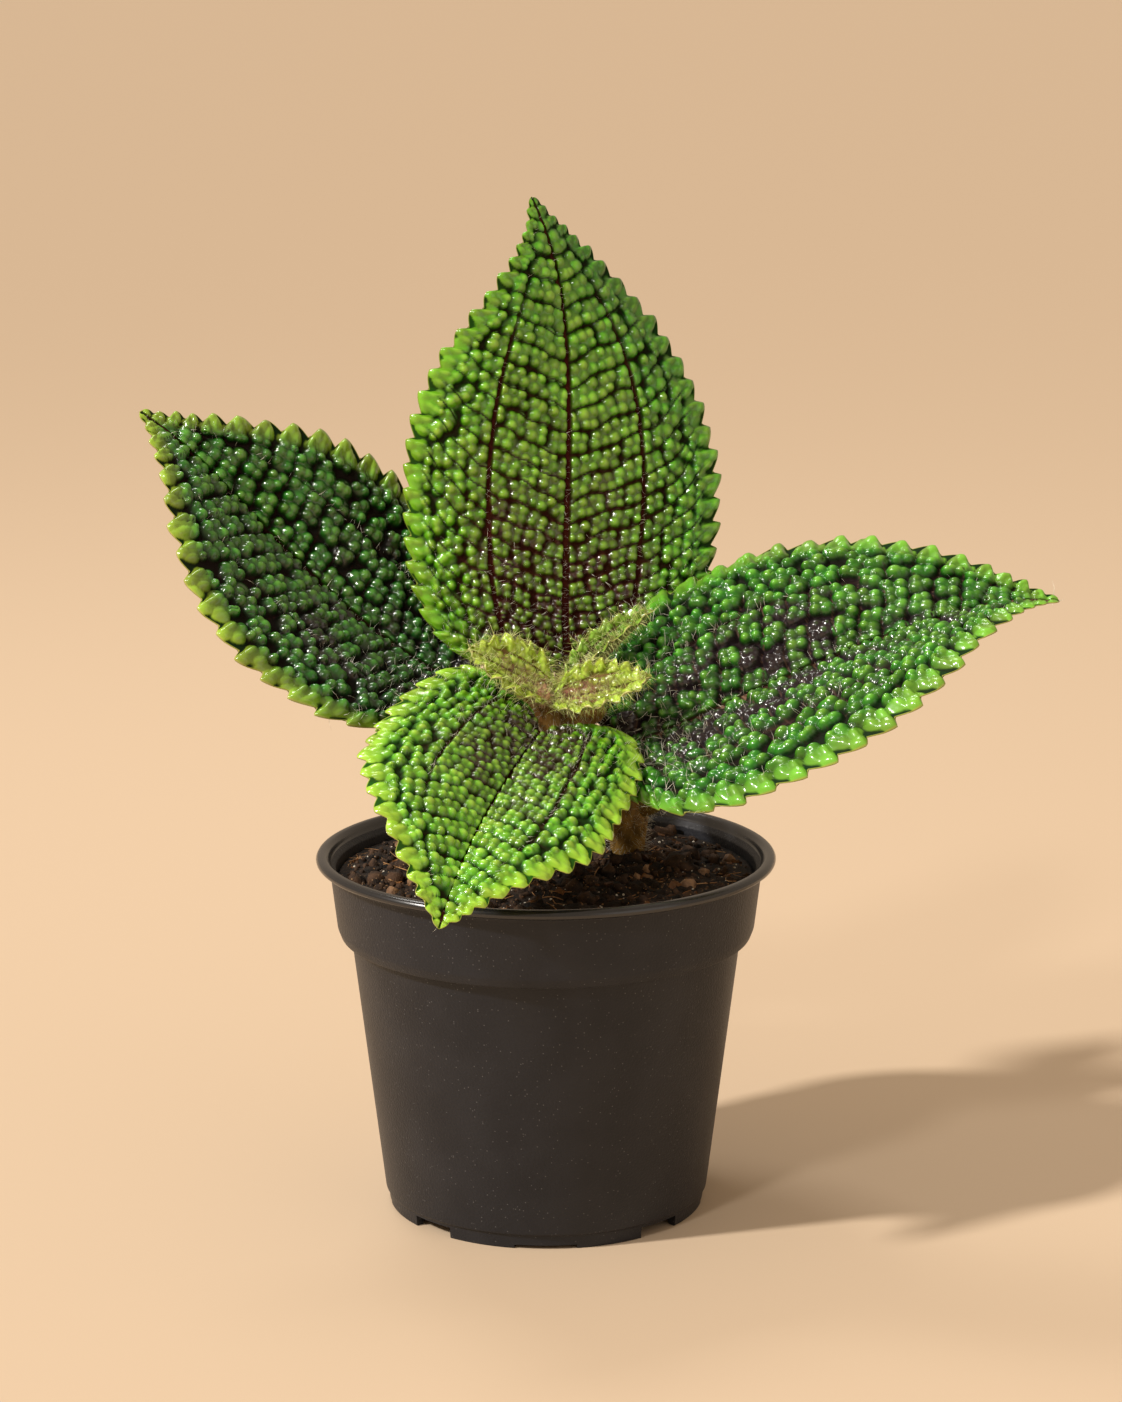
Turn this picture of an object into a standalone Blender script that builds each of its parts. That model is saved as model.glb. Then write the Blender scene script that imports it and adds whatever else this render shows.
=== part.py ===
"""Friendship plant with puckered, toothed leaves, growing in a round nursery pot.

Metres, +Z up. The origin is the centre of the pot's underside, on its middle foot, and the
plant faces -Y: one leaf stands at the back, one hangs over the front rim and one lies to each side.
Lengths and places below are named in millimetres and turned into metres where a mesh is made.
"""

import math
from dataclasses import dataclass

import bmesh
import bpy
from mathutils import Matrix, Vector, noise

MM = 0.001
# Gap between neighbours that touch on the real plant, in millimetres
CLEARANCE = 0.3
# Distance in metres within which doubled points are one
MERGE = 0.00002

# Pot
POT_STEPS = 40
LIP_RADIUS = 45.1
POT_HEIGHT = 71.0
LIP_DROP = 2.5
COLLAR_RADIUS_TOP = 42.5
COLLAR_RADIUS_FOOT = 41.0
COLLAR_FOOT = 56.6
WALL_RADIUS_TOP = 38.3
WALL_TOP = 54.3
WALL_RADIUS_FOOT = 32.0
WALL_FOOT = 3.1
WALL_THICKNESS = 1.1
SKIRT_RADIUS = 31.2
SKIRT_THICKNESS = 1.6
FLOOR_RISE = 2.5
FLOOR_THICKNESS = 1.2
MIDDLE_FOOT_RADIUS = 13.5
NOTCH_WIDTH = 9.5
NOTCH_HEIGHT = 2.2
RECESS_WIDTH = 12.0
RECESS_HEIGHT = 0.8
DRAIN_WIDTH = 6.0
DRAIN_INNER = 21.0
DRAIN_OUTER = 28.0
CUT_PAST = 1.5

# Soil
SOIL_RIM_DROP = 4.4
SOIL_MOUND = 1.8
SOIL_LUMP = 1.3
SOIL_LUMP_PITCH = 7.0
SOIL_CRUMB = 0.6
SOIL_CRUMB_PITCH = 2.6
SOIL_RINGS = 8
SOIL_SEGMENTS = 40

# Stem, from its foot in the soil to its top, with the radius at each point
STEM_PATH = (
    (15.5, 13.0, 44.0, 2.8),
    (15.8, 12.5, 58.0, 3.3),
    (16.2, 11.0, 68.5, 3.5),
    (16.0, 8.5, 76.0, 3.6),
    (12.5, 6.0, 83.0, 3.5),
    (6.5, 3.5, 89.0, 3.3),
    (2.0, 1.0, 94.5, 3.0),
    (0.5, -0.8, 99.0, 2.3),
    (-0.2, -1.6, 102.0, 1.7),
)
STEM_SIDES = 10
STEM_SAMPLES = 18
TUBE_SIDES = 8

# Leaf blades
BLADE_THICKNESS = 0.8
MIDRIB_THICKNESS = 2.4
LATERAL_VEIN_SHARE = 0.5
COLUMNS = 14
VEIN_COLUMN = 3
BUMP_HEIGHT = 1.25
BUMP_FADE = 0.8
BUMP_END = 0.14
TIP_THICKNESS = 0.6
TOOTH_FADE = 0.35
TOOTH_OUT = 0.65
TOOTH_LEAN = 0.3
RISE = 0.25
LOBE_REACH = 0.35
PETIOLE_SINK = 0.25
PETIOLE_SAMPLES = 9

OUTLINE = (
    (0.0, 0.16), (0.05, 0.64), (0.1, 0.84), (0.2, 0.96), (0.35, 1.0), (0.5, 0.93),
    (0.6, 0.82), (0.7, 0.64), (0.8, 0.41), (0.87, 0.22), (0.93, 0.10), (1.0, 0.0),
)
HEART_OUTLINE = (
    (0.0, 0.20), (0.05, 0.72), (0.1, 0.90), (0.2, 1.0), (0.35, 1.0), (0.5, 0.90),
    (0.6, 0.77), (0.7, 0.60), (0.8, 0.42), (0.87, 0.29), (0.93, 0.17), (1.0, 0.0),
)
YOUNG_OUTLINE = (
    (0.0, 0.15), (0.1, 0.5), (0.25, 0.9), (0.4, 1.0), (0.6, 0.87), (0.8, 0.5), (0.92, 0.2), (1.0, 0.0),
)


@dataclass
class Leaf:
    """One leaf: its midrib, which way it faces, its width, fold and curl, and its petiole.

    midrib holds the four control points of a cubic curve from base to tip. Left is the side
    that lies to the left of the midrib when the upper face is seen with the tip up. Angles are
    in radians: fold is how far a half is lifted at the midrib, and curl how much it bends more
    over one half width. lobe says how far the base reaches back past the petiole.
    """

    midrib: tuple
    face_base: tuple
    face_tip: tuple
    half_width: float
    teeth: int
    left_share: float = 1.0
    right_share: float = 1.0
    fold_left: float = 0.3
    fold_right: float = 0.3
    curl_left: float = -0.3
    curl_right: float = -0.3
    lobe: float = 0.4
    tooth: float = 2.0
    tooth_fade: float = TOOTH_FADE
    bump: float = BUMP_HEIGHT
    rib: float = MIDRIB_THICKNESS
    columns: int = COLUMNS
    vein_column: int = VEIN_COLUMN
    outline: tuple = OUTLINE
    petiole: tuple = ()
    petiole_radius: float = 2.0
    petiole_end: float = 0.16


LEAVES = {
    "leaf_back": Leaf(
        midrib=((4, 17, 104), (2, 23, 134.5), (9, 34, 168.5), (-3, 40, 195.5)),
        face_base=(0.15, -0.96, 0.25), face_tip=(0.63, -0.74, 0.24),
        half_width=31.8, teeth=20, left_share=1.03, right_share=1.01,
        fold_left=0.05, fold_right=0.05, curl_left=-0.33, curl_right=-0.09, lobe=0.38,
        petiole=((6.5, 3.5, 89), (7.0, 11.0, 91.5), (5.0, 16.0, 97.0)),
    ),
    "leaf_left": Leaf(
        midrib=((-15, 13, 99.5), (-42.5, 18.5, 110.5), (-60, 18.5, 139), (-80, 20, 155)),
        face_base=(0.49, -0.57, 0.65), face_tip=(0.40, -0.72, 0.56),
        half_width=31.0, teeth=20, left_share=1.05, right_share=0.98,
        fold_left=0.61, fold_right=0.27, curl_left=-0.77, curl_right=-0.09, lobe=0.24,
        petiole=((12.0, 6.0, 83.5), (4.0, 10.5, 86.5), (-6.0, 13.0, 93.0)),
    ),
    "leaf_right": Leaf(
        midrib=((18.5, 0, 92), (44.5, -6, 104), (73, 4, 119), (100, 4, 120)),
        face_base=(-0.20, -0.72, 0.67), face_tip=(-0.28, -0.40, 0.87),
        half_width=32.2, teeth=20, left_share=1.05, right_share=1.02,
        fold_left=0.39, fold_right=0.71, curl_left=-0.72, curl_right=-0.70, lobe=0.47,
        petiole=((16.0, 8.5, 76.5), (22.5, 6.0, 80.0), (22.5, 2.5, 86.0)),
        petiole_end=0.2,
    ),
    "leaf_front": Leaf(
        midrib=((-1, -7, 96), (-9, -25, 89), (-15.5, -46.5, 83.5), (-19, -62, 72.5)),
        face_base=(0.35, -0.46, 0.81), face_tip=(0.42, -0.47, 0.78),
        half_width=24.8, teeth=16, left_share=0.94, right_share=1.08,
        fold_left=0.76, fold_right=0.28, curl_left=-1.0, curl_right=-0.66, lobe=0.94,
        outline=HEART_OUTLINE,
        petiole=((6.5, 3.5, 89), (5.0, -2.0, 90.5), (1.5, -6.0, 92.5)),
        petiole_radius=1.7,
    ),
    "young_leaf_left": Leaf(
        midrib=((-3.8, -2, 104.2), (-7, -3, 108), (-11, -4.5, 110.5), (-15, -5.5, 112)),
        face_base=(0.35, -0.80, 0.50), face_tip=(0.35, -0.70, 0.60), left_share=0.85,
        half_width=5.4, teeth=7, fold_left=0.5, fold_right=0.3, curl_left=0.3, curl_right=0.2,
        lobe=0.1, tooth=0.9, tooth_fade=0.7, bump=0.45, rib=1.2,
        columns=8, vein_column=2, outline=YOUNG_OUTLINE,
        petiole=((1.6, 0.5, 95.5), (-1.0, -0.4, 98.0), (-2.8, -1.0, 101.0)),
        petiole_radius=1.3, petiole_end=0.3,
    ),
    "young_leaf_right": Leaf(
        midrib=((5.5, -3.5, 100.5), (10, -5, 103.5), (15, -6.5, 105.5), (20.5, -7.5, 107.5)),
        face_base=(-0.30, -0.70, 0.65), face_tip=(-0.25, -0.70, 0.65),
        half_width=5.6, teeth=8, fold_left=0.5, fold_right=0.5, curl_left=0.2, curl_right=0.2,
        lobe=0.1, tooth=0.9, tooth_fade=0.7, bump=0.45, rib=1.2,
        columns=8, vein_column=2, outline=YOUNG_OUTLINE,
        petiole=((1.8, 0.8, 95.0), (4.0, -1.5, 96.5), (5.5, -3.0, 98.5)),
        petiole_radius=1.5, petiole_end=0.3,
    ),
    "young_leaf_folded": Leaf(
        midrib=((5.5, 5, 103), (10, 7, 108.5), (15.5, 8, 113), (21, 8, 117.5)),
        face_base=(-0.55, -0.65, 0.50), face_tip=(-0.50, -0.70, 0.50),
        half_width=4.6, teeth=7, fold_left=0.7, fold_right=0.9, curl_left=0.3, curl_right=0.3,
        lobe=0.0, tooth=0.8, tooth_fade=0.7, bump=0.4, rib=1.2,
        columns=8, vein_column=2, outline=YOUNG_OUTLINE,
        petiole=((1.2, 0.0, 97.5), (3.0, 2.5, 98.5), (4.8, 4.5, 101.0)),
        petiole_radius=1.1, petiole_end=0.3,
    ),
}

# Growing tip: where each pointed scale of the bud ends, from its foot, and how thick it is
GROWING_TIP_FOOT = (-0.3, -1.7, 101.6)
GROWING_TIP_SCALES = (
    ((-1.0, -0.9, 4.7), 1.2),
    ((1.0, -0.2, 3.9), 1.1),
    ((-0.1, 1.0, 4.2), 1.0),
)
GROWING_TIP_POINT = 0.25

COLOURS = {
    "pot": (0.035, 0.033, 0.031), "soil": (0.030, 0.017, 0.010), "stem": (0.10, 0.055, 0.03),
    "leaf_back": (0.10, 0.26, 0.03), "leaf_left": (0.03, 0.11, 0.02),
    "leaf_right": (0.04, 0.17, 0.03), "leaf_front": (0.12, 0.34, 0.03),
    "young_leaf_left": (0.30, 0.36, 0.06), "young_leaf_right": (0.36, 0.42, 0.06),
    "young_leaf_folded": (0.22, 0.26, 0.07), "growing_tip": (0.45, 0.27, 0.16),
}


def clear_scene():
    for obj in list(bpy.data.objects):
        bpy.data.objects.remove(obj, do_unlink=True)


def new_collection(name):
    collection = bpy.data.collections.new(name)
    bpy.context.scene.collection.children.link(collection)
    return collection


def plain_material(name, colour, roughness):
    material = bpy.data.materials.new(name)
    material.use_nodes = True
    shader = material.node_tree.nodes["Principled BSDF"]
    shader.inputs["Base Color"].default_value = (*colour, 1.0)
    shader.inputs["Roughness"].default_value = roughness
    shader.inputs["Metallic"].default_value = 0.0
    return material


def add_part(name, data, parts):
    """Link an object for a sub-part and give it its own material."""
    obj = bpy.data.objects.new(name, data)
    parts.objects.link(obj)
    roughness = {"pot": 0.55, "soil": 0.95}.get(name, 0.45)
    data.materials.append(plain_material(name, COLOURS[name], roughness))
    return obj


def add_cutter(name, data, cutters):
    obj = bpy.data.objects.new(name, data)
    cutters.objects.link(obj)
    obj.hide_render = True
    obj.display_type = "WIRE"
    return obj


def add_boolean(obj, operand, operation):
    modifier = obj.modifiers.new(operation.title() + " " + operand.name, "BOOLEAN")
    modifier.operation = operation
    modifier.object = operand
    modifier.solver = "EXACT"
    return modifier


def lerp(a, b, share):
    return a + (b - a) * share


def smooth_value(stations, position):
    """Read a smooth monotone curve through (position, value) stations."""
    xs = [x for x, _ in stations]
    ys = [y for _, y in stations]
    steps = [xs[i + 1] - xs[i] for i in range(len(xs) - 1)]
    slopes = [(ys[i + 1] - ys[i]) / steps[i] for i in range(len(steps))]
    tangents = [slopes[0]]
    for before, after in zip(slopes, slopes[1:]):
        level = before * after <= 0
        tangents.append(0.0 if level else 2 * before * after / (before + after))
    tangents.append(slopes[-1])
    i = max(k for k in range(len(steps)) if xs[k] <= position or k == 0)
    t = (position - xs[i]) / steps[i]
    return (
        (1 + 2 * t) * (1 - t) ** 2 * ys[i]
        + t * (1 - t) ** 2 * steps[i] * tangents[i]
        + t * t * (3 - 2 * t) * ys[i + 1]
        + t * t * (t - 1) * steps[i] * tangents[i + 1]
    )


def cubic_point(points, s):
    a, b, c, d = (Vector(p) for p in points)
    return (1 - s) ** 3 * a + 3 * s * (1 - s) ** 2 * b + 3 * s * s * (1 - s) * c + s**3 * d


def cubic_direction(points, s):
    a, b, c, d = (Vector(p) for p in points)
    return (3 * (1 - s) ** 2 * (b - a) + 6 * s * (1 - s) * (c - b) + 3 * s * s * (d - c)).normalized()


def blade_point(leaf, s, side):
    """Point and upward normal of a blade, s along the midrib and side from -1 to 1 across it."""
    along = cubic_direction(leaf.midrib, s)
    facing = Vector(leaf.face_base).lerp(Vector(leaf.face_tip), s)
    across = along.cross(facing).normalized()
    up = across.cross(along)
    width = smooth_value(leaf.outline, s) * leaf.half_width
    left = side < 0
    reach = abs(side) * width * (leaf.left_share if left else leaf.right_share)
    fold = leaf.fold_left if left else leaf.fold_right
    bend = (leaf.curl_left if left else leaf.curl_right) / leaf.half_width
    angle = fold + bend * reach
    out = (math.sin(angle) - math.sin(fold)) / bend
    lift = (math.cos(fold) - math.cos(angle)) / bend
    backward = leaf.lobe * max(0.0, 1 - s / LOBE_REACH) ** 2 * abs(side) ** 1.3
    forward = (RISE * side * side * (1 - s) - backward) * width
    sign = -1.0 if left else 1.0
    point = cubic_point(leaf.midrib, s) + across * (sign * out) + up * lift + along * forward
    normal = up * math.cos(angle) - across * (sign * math.sin(angle))
    return point, normal


def is_vein(leaf, column):
    offset = abs(column - leaf.columns // 2)
    return offset in (0, leaf.vein_column)


def bump_share(width_share):
    """How high a bump stands, from full on the wide part of a blade to flat near its tip."""
    return min(1.0, max(0.0, (width_share - BUMP_END) / (BUMP_FADE - BUMP_END)))


def blade_vertex(leaf, row, column):
    """Place one vertex of the blade's grid: a bump, a groove, a tooth's tip or its notch."""
    rows = 2 * leaf.teeth
    s = row / rows
    side = 2.0 * column / leaf.columns - 1.0
    at_edge = column in (0, leaf.columns)
    share = smooth_value(leaf.outline, s)
    width = max(share * leaf.half_width, 0.01)
    if at_edge and 0 < row < rows:
        tip = row % 2 == 1
        fade = min(1.0, share / leaf.tooth_fade)
        reach = leaf.tooth * fade * (TOOTH_OUT if tip else TOOTH_OUT - 1.0) / width
        s = min(1.0, s + (TOOTH_LEAN / rows if tip else 0.0))
        side *= 1.0 + reach
    point, normal = blade_point(leaf, s, side)
    raised = (row + column) % 2 == 1 and not at_edge and 0 < row < rows and not is_vein(leaf, column)
    if raised:
        point = point + normal * (leaf.bump * bump_share(share))
    return point * MM


def split_along_valleys(bm, grid, raised):
    """Cut each quad of the grid between its two low corners, so that each bump is a pyramid."""
    rows = len(grid) - 1
    columns = len(grid[0]) - 1
    for row in range(rows):
        for column in range(columns):
            a = grid[row][column]
            b = grid[row][column + 1]
            c = grid[row + 1][column + 1]
            d = grid[row + 1][column]
            if raised(row, column):
                corners = ((a, b, d), (b, c, d))
            else:
                corners = ((a, b, c), (a, c, d))
            for triangle in corners:
                bm.faces.new(triangle)


def thickness_weight(leaf, thickness):
    """The rib group's weight that gives a blade this thickness."""
    return (thickness - TIP_THICKNESS) / (leaf.rib - TIP_THICKNESS)


def blade_mesh(name, leaf):
    """The upper face of a blade as a puckered, toothed sheet, with the ribs as a vertex group."""
    bm = bmesh.new()
    layer = bm.verts.layers.deform.verify()
    rows = 2 * leaf.teeth
    grid = []
    for row in range(rows):
        grid.append([bm.verts.new(blade_vertex(leaf, row, c)) for c in range(leaf.columns + 1)])
    tip = bm.verts.new(blade_vertex(leaf, rows, leaf.columns // 2))
    split_along_valleys(bm, grid, lambda row, column: (row + column) % 2 == 1)
    for a, b in zip(grid[-1], grid[-1][1:]):
        bm.faces.new((a, b, tip))
    middle = leaf.columns // 2
    for row, line in enumerate(grid):
        fade = 1.0 - row / rows
        share = min(1.0, smooth_value(leaf.outline, row / rows) / TOOTH_FADE)
        plain = lerp(0.0, thickness_weight(leaf, BLADE_THICKNESS), share)
        for vertex in line:
            vertex[layer][0] = plain
        line[middle][layer][0] = max(plain, fade)
        for column in (middle - leaf.vein_column, middle + leaf.vein_column):
            line[column][layer][0] = max(plain, LATERAL_VEIN_SHARE * fade * share)
    bmesh.ops.recalc_face_normals(bm, faces=bm.faces)
    bm.normal_update()
    facing = sum((f.normal * f.calc_area() for f in bm.faces), Vector())
    if facing.dot(Vector(leaf.face_base)) < 0:
        bmesh.ops.reverse_faces(bm, faces=bm.faces)
    mesh = bpy.data.meshes.new(name)
    bm.to_mesh(mesh)
    bm.free()
    return mesh


def curve_points(path, samples):
    """Sample a smooth curve through path, whose points may carry a radius as a fourth number."""
    knots = [Vector(p[:3]) for p in path]
    radii = [p[3] for p in path]
    points = []
    for k in range(samples + 1):
        place = k * (len(path) - 1) / samples
        i = min(int(place), len(path) - 2)
        t = place - i
        p0, p1 = knots[max(i - 1, 0)], knots[i]
        p2, p3 = knots[i + 1], knots[min(i + 2, len(path) - 1)]
        point = 0.5 * (
            2 * p1 + (p2 - p0) * t + (2 * p0 - 5 * p1 + 4 * p2 - p3) * t * t
            + (3 * p1 - p0 - 3 * p2 + p3) * t**3
        )
        points.append((point, lerp(radii[i], radii[i + 1], t)))
    return points


def tube_mesh(name, points, sides, grow=0.0):
    """A round tube through (point, radius) pairs in millimetres, as a closed mesh."""
    curve = bpy.data.curves.new(name, "CURVE")
    curve.dimensions = "3D"
    curve.bevel_depth = MM
    curve.bevel_resolution = sides // 2 - 2
    curve.use_fill_caps = True
    spline = curve.splines.new("POLY")
    spline.points.add(len(points) - 1)
    for target, (place, radius) in zip(spline.points, points):
        target.co = (*(place * MM), 1.0)
        target.radius = radius + grow
    holder = bpy.data.objects.new(name, curve)
    bpy.context.scene.collection.objects.link(holder)
    bpy.context.view_layer.update()
    graph = bpy.context.evaluated_depsgraph_get()
    mesh = bpy.data.meshes.new_from_object(holder.evaluated_get(graph))
    bpy.data.objects.remove(holder, do_unlink=True)
    bpy.data.curves.remove(curve)
    bm = bmesh.new()
    bm.from_mesh(mesh)
    bmesh.ops.remove_doubles(bm, verts=bm.verts, dist=MERGE)
    bmesh.ops.triangulate(bm, faces=bm.faces)
    bmesh.ops.recalc_face_normals(bm, faces=bm.faces)
    bm.to_mesh(mesh)
    bm.free()
    mesh.name = name
    return mesh


def lengthened(points):
    """The same run of (point, radius) pairs with its two ends moved outwards by the clearance."""
    (foot, foot_radius), (after_foot, _) = points[:2]
    (before_end, _), (end, end_radius) = points[-2:]
    foot = foot + (foot - after_foot).normalized() * CLEARANCE
    end = end + (end - before_end).normalized() * CLEARANCE
    return [(foot, foot_radius), *points[1:-1], (end, end_radius)]


def petiole_points(leaf):
    """The petiole from the stem's middle to under the midrib, where it thins into the rib."""
    path = [(*p, leaf.petiole_radius) for p in leaf.petiole]
    for share in (0.35, 1.0):
        s = leaf.petiole_end * share
        radius = lerp(leaf.petiole_radius * 0.85, leaf.rib * 0.3, share)
        _, normal = blade_point(leaf, s, 0.0)
        place = cubic_point(leaf.midrib, s) - normal * (radius + PETIOLE_SINK)
        path.append((*place, radius))
    return curve_points(path, PETIOLE_SAMPLES)


def build_leaf(name, leaf, stem_room, parts, cutters):
    obj = add_part(name, blade_mesh(name, leaf), parts)
    obj.vertex_groups.new(name="ribs")
    solidify = obj.modifiers.new("Blade", "SOLIDIFY")
    solidify.thickness = leaf.rib * MM
    solidify.offset = -1.0
    solidify.use_even_offset = False
    solidify.vertex_group = "ribs"
    solidify.thickness_vertex_group = TIP_THICKNESS / leaf.rib
    tube = tube_mesh(name + "_petiole", petiole_points(leaf), TUBE_SIDES)
    petiole = add_cutter(name + "_petiole", tube, cutters)
    add_boolean(obj, petiole, "UNION")
    add_boolean(obj, stem_room, "DIFFERENCE")
    return obj


def pot_profile():
    """The pot's wall from the middle of its inner floor over the lip to its underside."""
    inner_foot = WALL_RADIUS_FOOT - WALL_THICKNESS
    inner_top = WALL_RADIUS_TOP - WALL_THICKNESS
    inner_collar_foot = COLLAR_RADIUS_FOOT - WALL_THICKNESS
    inner_collar_top = COLLAR_RADIUS_TOP - WALL_THICKNESS
    floor = FLOOR_RISE + FLOOR_THICKNESS
    lip_foot = POT_HEIGHT - LIP_DROP
    return (
        (0.0, FLOOR_THICKNESS), (MIDDLE_FOOT_RADIUS - 1.0, FLOOR_THICKNESS),
        (MIDDLE_FOOT_RADIUS + 1.0, floor), (inner_foot, floor),
        (inner_top, WALL_TOP + 0.8), (inner_collar_foot, COLLAR_FOOT + 0.8),
        (inner_collar_top, lip_foot + 1.0), (LIP_RADIUS - 1.9, POT_HEIGHT),
        (LIP_RADIUS - 0.5, POT_HEIGHT), (LIP_RADIUS, POT_HEIGHT - 0.6),
        (LIP_RADIUS - 0.1, lip_foot + 0.5), (LIP_RADIUS - 0.7, lip_foot),
        (COLLAR_RADIUS_TOP, lip_foot - 0.3), (COLLAR_RADIUS_FOOT, COLLAR_FOOT),
        (COLLAR_RADIUS_FOOT - 0.7, WALL_TOP + 0.5), (WALL_RADIUS_TOP, WALL_TOP),
        (WALL_RADIUS_FOOT, WALL_FOOT), (SKIRT_RADIUS + 0.2, WALL_FOOT - 0.4),
        (SKIRT_RADIUS, 0.0), (SKIRT_RADIUS - SKIRT_THICKNESS, 0.0),
        (SKIRT_RADIUS - SKIRT_THICKNESS - 0.4, FLOOR_RISE),
        (MIDDLE_FOOT_RADIUS + 2.0, FLOOR_RISE), (MIDDLE_FOOT_RADIUS, 0.0), (0.0, 0.0),
    )


def profile_mesh(name, profile):
    """A line through (radius, height) pairs that starts and ends on the axis, ready to be turned."""
    bm = bmesh.new()
    verts = [bm.verts.new((radius * MM, 0.0, height * MM)) for radius, height in profile]
    for a, b in zip(verts, verts[1:]):
        bm.edges.new((a, b))
    mesh = bpy.data.meshes.new(name)
    bm.to_mesh(mesh)
    bm.free()
    return mesh


def add_screw(obj, steps):
    screw = obj.modifiers.new("Turned", "SCREW")
    screw.angle = math.tau
    screw.axis = "Z"
    screw.steps = steps
    screw.render_steps = steps
    screw.use_merge_vertices = True
    screw.merge_threshold = MERGE
    screw.use_smooth_shade = True


def cutting_box(name, reach, width, heights, angle, cutters):
    """A box that reaches from one radius to another, turned about the pot's axis."""
    inner, outer = reach
    low, high = heights
    bm = bmesh.new()
    bmesh.ops.create_cube(bm, size=1.0)
    size = Vector((outer - inner, width, high - low))
    centre = Vector(((outer + inner) / 2, 0.0, (high + low) / 2))
    bmesh.ops.scale(bm, vec=size * MM, verts=bm.verts)
    bmesh.ops.translate(bm, vec=centre * MM, verts=bm.verts)
    bmesh.ops.rotate(bm, cent=(0, 0, 0), matrix=Matrix.Rotation(angle, 3, "Z"), verts=bm.verts)
    mesh = bpy.data.meshes.new(name)
    bm.to_mesh(mesh)
    bm.free()
    return add_cutter(name, mesh, cutters)


def build_pot(parts, cutters):
    pot = add_part("pot", profile_mesh("pot", pot_profile()), parts)
    add_screw(pot, POT_STEPS)
    skirt = (SKIRT_RADIUS - SKIRT_THICKNESS - CUT_PAST, SKIRT_RADIUS + CUT_PAST)
    floor = (FLOOR_RISE - CUT_PAST, FLOOR_RISE + FLOOR_THICKNESS + CUT_PAST)
    for quarter in range(4):
        facing = math.radians(90.0 * quarter)
        corner = facing + math.radians(45.0)
        cuts = (
            ("notch", skirt, NOTCH_WIDTH, (-CUT_PAST, NOTCH_HEIGHT), corner),
            ("recess", skirt, RECESS_WIDTH, (-CUT_PAST, RECESS_HEIGHT), facing),
            ("drain", (DRAIN_INNER, DRAIN_OUTER), DRAIN_WIDTH, floor, corner),
        )
        for kind, reach, width, heights, angle in cuts:
            box = cutting_box(kind + "_" + str(quarter + 1), reach, width, heights, angle, cutters)
            add_boolean(pot, box, "DIFFERENCE")
    return pot


def soil_height(x, y, soil_top, radius):
    """The soil's surface: low at the wall, mounded at the stem, with lumps."""
    share = min(1.0, math.hypot(x, y) / radius)
    lumps = noise.noise(Vector((x, y, 0.0)) / SOIL_LUMP_PITCH)
    crumbs = noise.noise(Vector((x, y, SOIL_LUMP_PITCH)) / SOIL_CRUMB_PITCH)
    calm = 1.0 - share**6
    relief = SOIL_LUMP * lumps + SOIL_CRUMB * crumbs
    return soil_top + SOIL_MOUND * (1 - share**2) + relief * calm


def build_soil(parts, stem_room):
    """The root ball, a closed body that fills the pot, with a plain hole for the stem."""
    floor = FLOOR_RISE + FLOOR_THICKNESS + CLEARANCE
    foot_radius = WALL_RADIUS_FOOT - WALL_THICKNESS - 2 * CLEARANCE
    wall_radius = WALL_RADIUS_TOP - WALL_THICKNESS - 2 * CLEARANCE
    collar_radius = COLLAR_RADIUS_FOOT - WALL_THICKNESS - CLEARANCE
    top_radius = lerp(COLLAR_RADIUS_FOOT, COLLAR_RADIUS_TOP, 0.8) - WALL_THICKNESS - 2 * CLEARANCE
    soil_top = POT_HEIGHT - SOIL_RIM_DROP
    side = ((foot_radius, floor), (wall_radius, WALL_TOP + 0.4), (collar_radius, COLLAR_FOOT + 1.6))
    bm = bmesh.new()
    rings = []
    for radius, height in side:
        rings.append([(radius, height)] * SOIL_SEGMENTS)
    for ring in range(SOIL_RINGS):
        rings.append([(top_radius * (1 - ring / SOIL_RINGS), None)] * SOIL_SEGMENTS)
    loops = []
    for ring in rings:
        loop = []
        for k, (radius, height) in enumerate(ring):
            angle = math.tau * k / SOIL_SEGMENTS
            x, y = radius * math.cos(angle), radius * math.sin(angle)
            z = soil_height(x, y, soil_top, top_radius) if height is None else height
            loop.append(bm.verts.new(Vector((x, y, z)) * MM))
        loops.append(loop)
    for lower, upper in zip(loops, loops[1:]):
        for k in range(SOIL_SEGMENTS):
            following = (k + 1) % SOIL_SEGMENTS
            bm.faces.new((lower[k], lower[following], upper[following], upper[k]))
    bm.faces.new(reversed(loops[0]))
    top = bm.verts.new((0.0, 0.0, soil_height(0.0, 0.0, soil_top, top_radius) * MM))
    for k in range(SOIL_SEGMENTS):
        bm.faces.new((loops[-1][k], loops[-1][(k + 1) % SOIL_SEGMENTS], top))
    bmesh.ops.triangulate(bm, faces=bm.faces)
    bmesh.ops.recalc_face_normals(bm, faces=bm.faces)
    mesh = bpy.data.meshes.new("soil")
    bm.to_mesh(mesh)
    bm.free()
    soil = add_part("soil", mesh, parts)
    add_boolean(soil, stem_room, "DIFFERENCE")
    return soil


def build_growing_tip(parts, cutters, stem_room):
    """The bud: pointed scales that overlap, joined in one body and seated on the stem's top."""
    foot = Vector(GROWING_TIP_FOOT)
    scales = []
    for lean, radius in GROWING_TIP_SCALES:
        top = foot + Vector(lean)
        path = [(foot, radius), (foot.lerp(top, 0.6), radius), (top, GROWING_TIP_POINT)]
        scales.append(tube_mesh("bud_scale", path, TUBE_SIDES))
    bud = add_part("growing_tip", scales[0], parts)
    for number, mesh in enumerate(scales[1:], start=2):
        add_boolean(bud, add_cutter("bud_scale_" + str(number), mesh, cutters), "UNION")
    add_boolean(bud, stem_room, "DIFFERENCE")
    return bud


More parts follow.
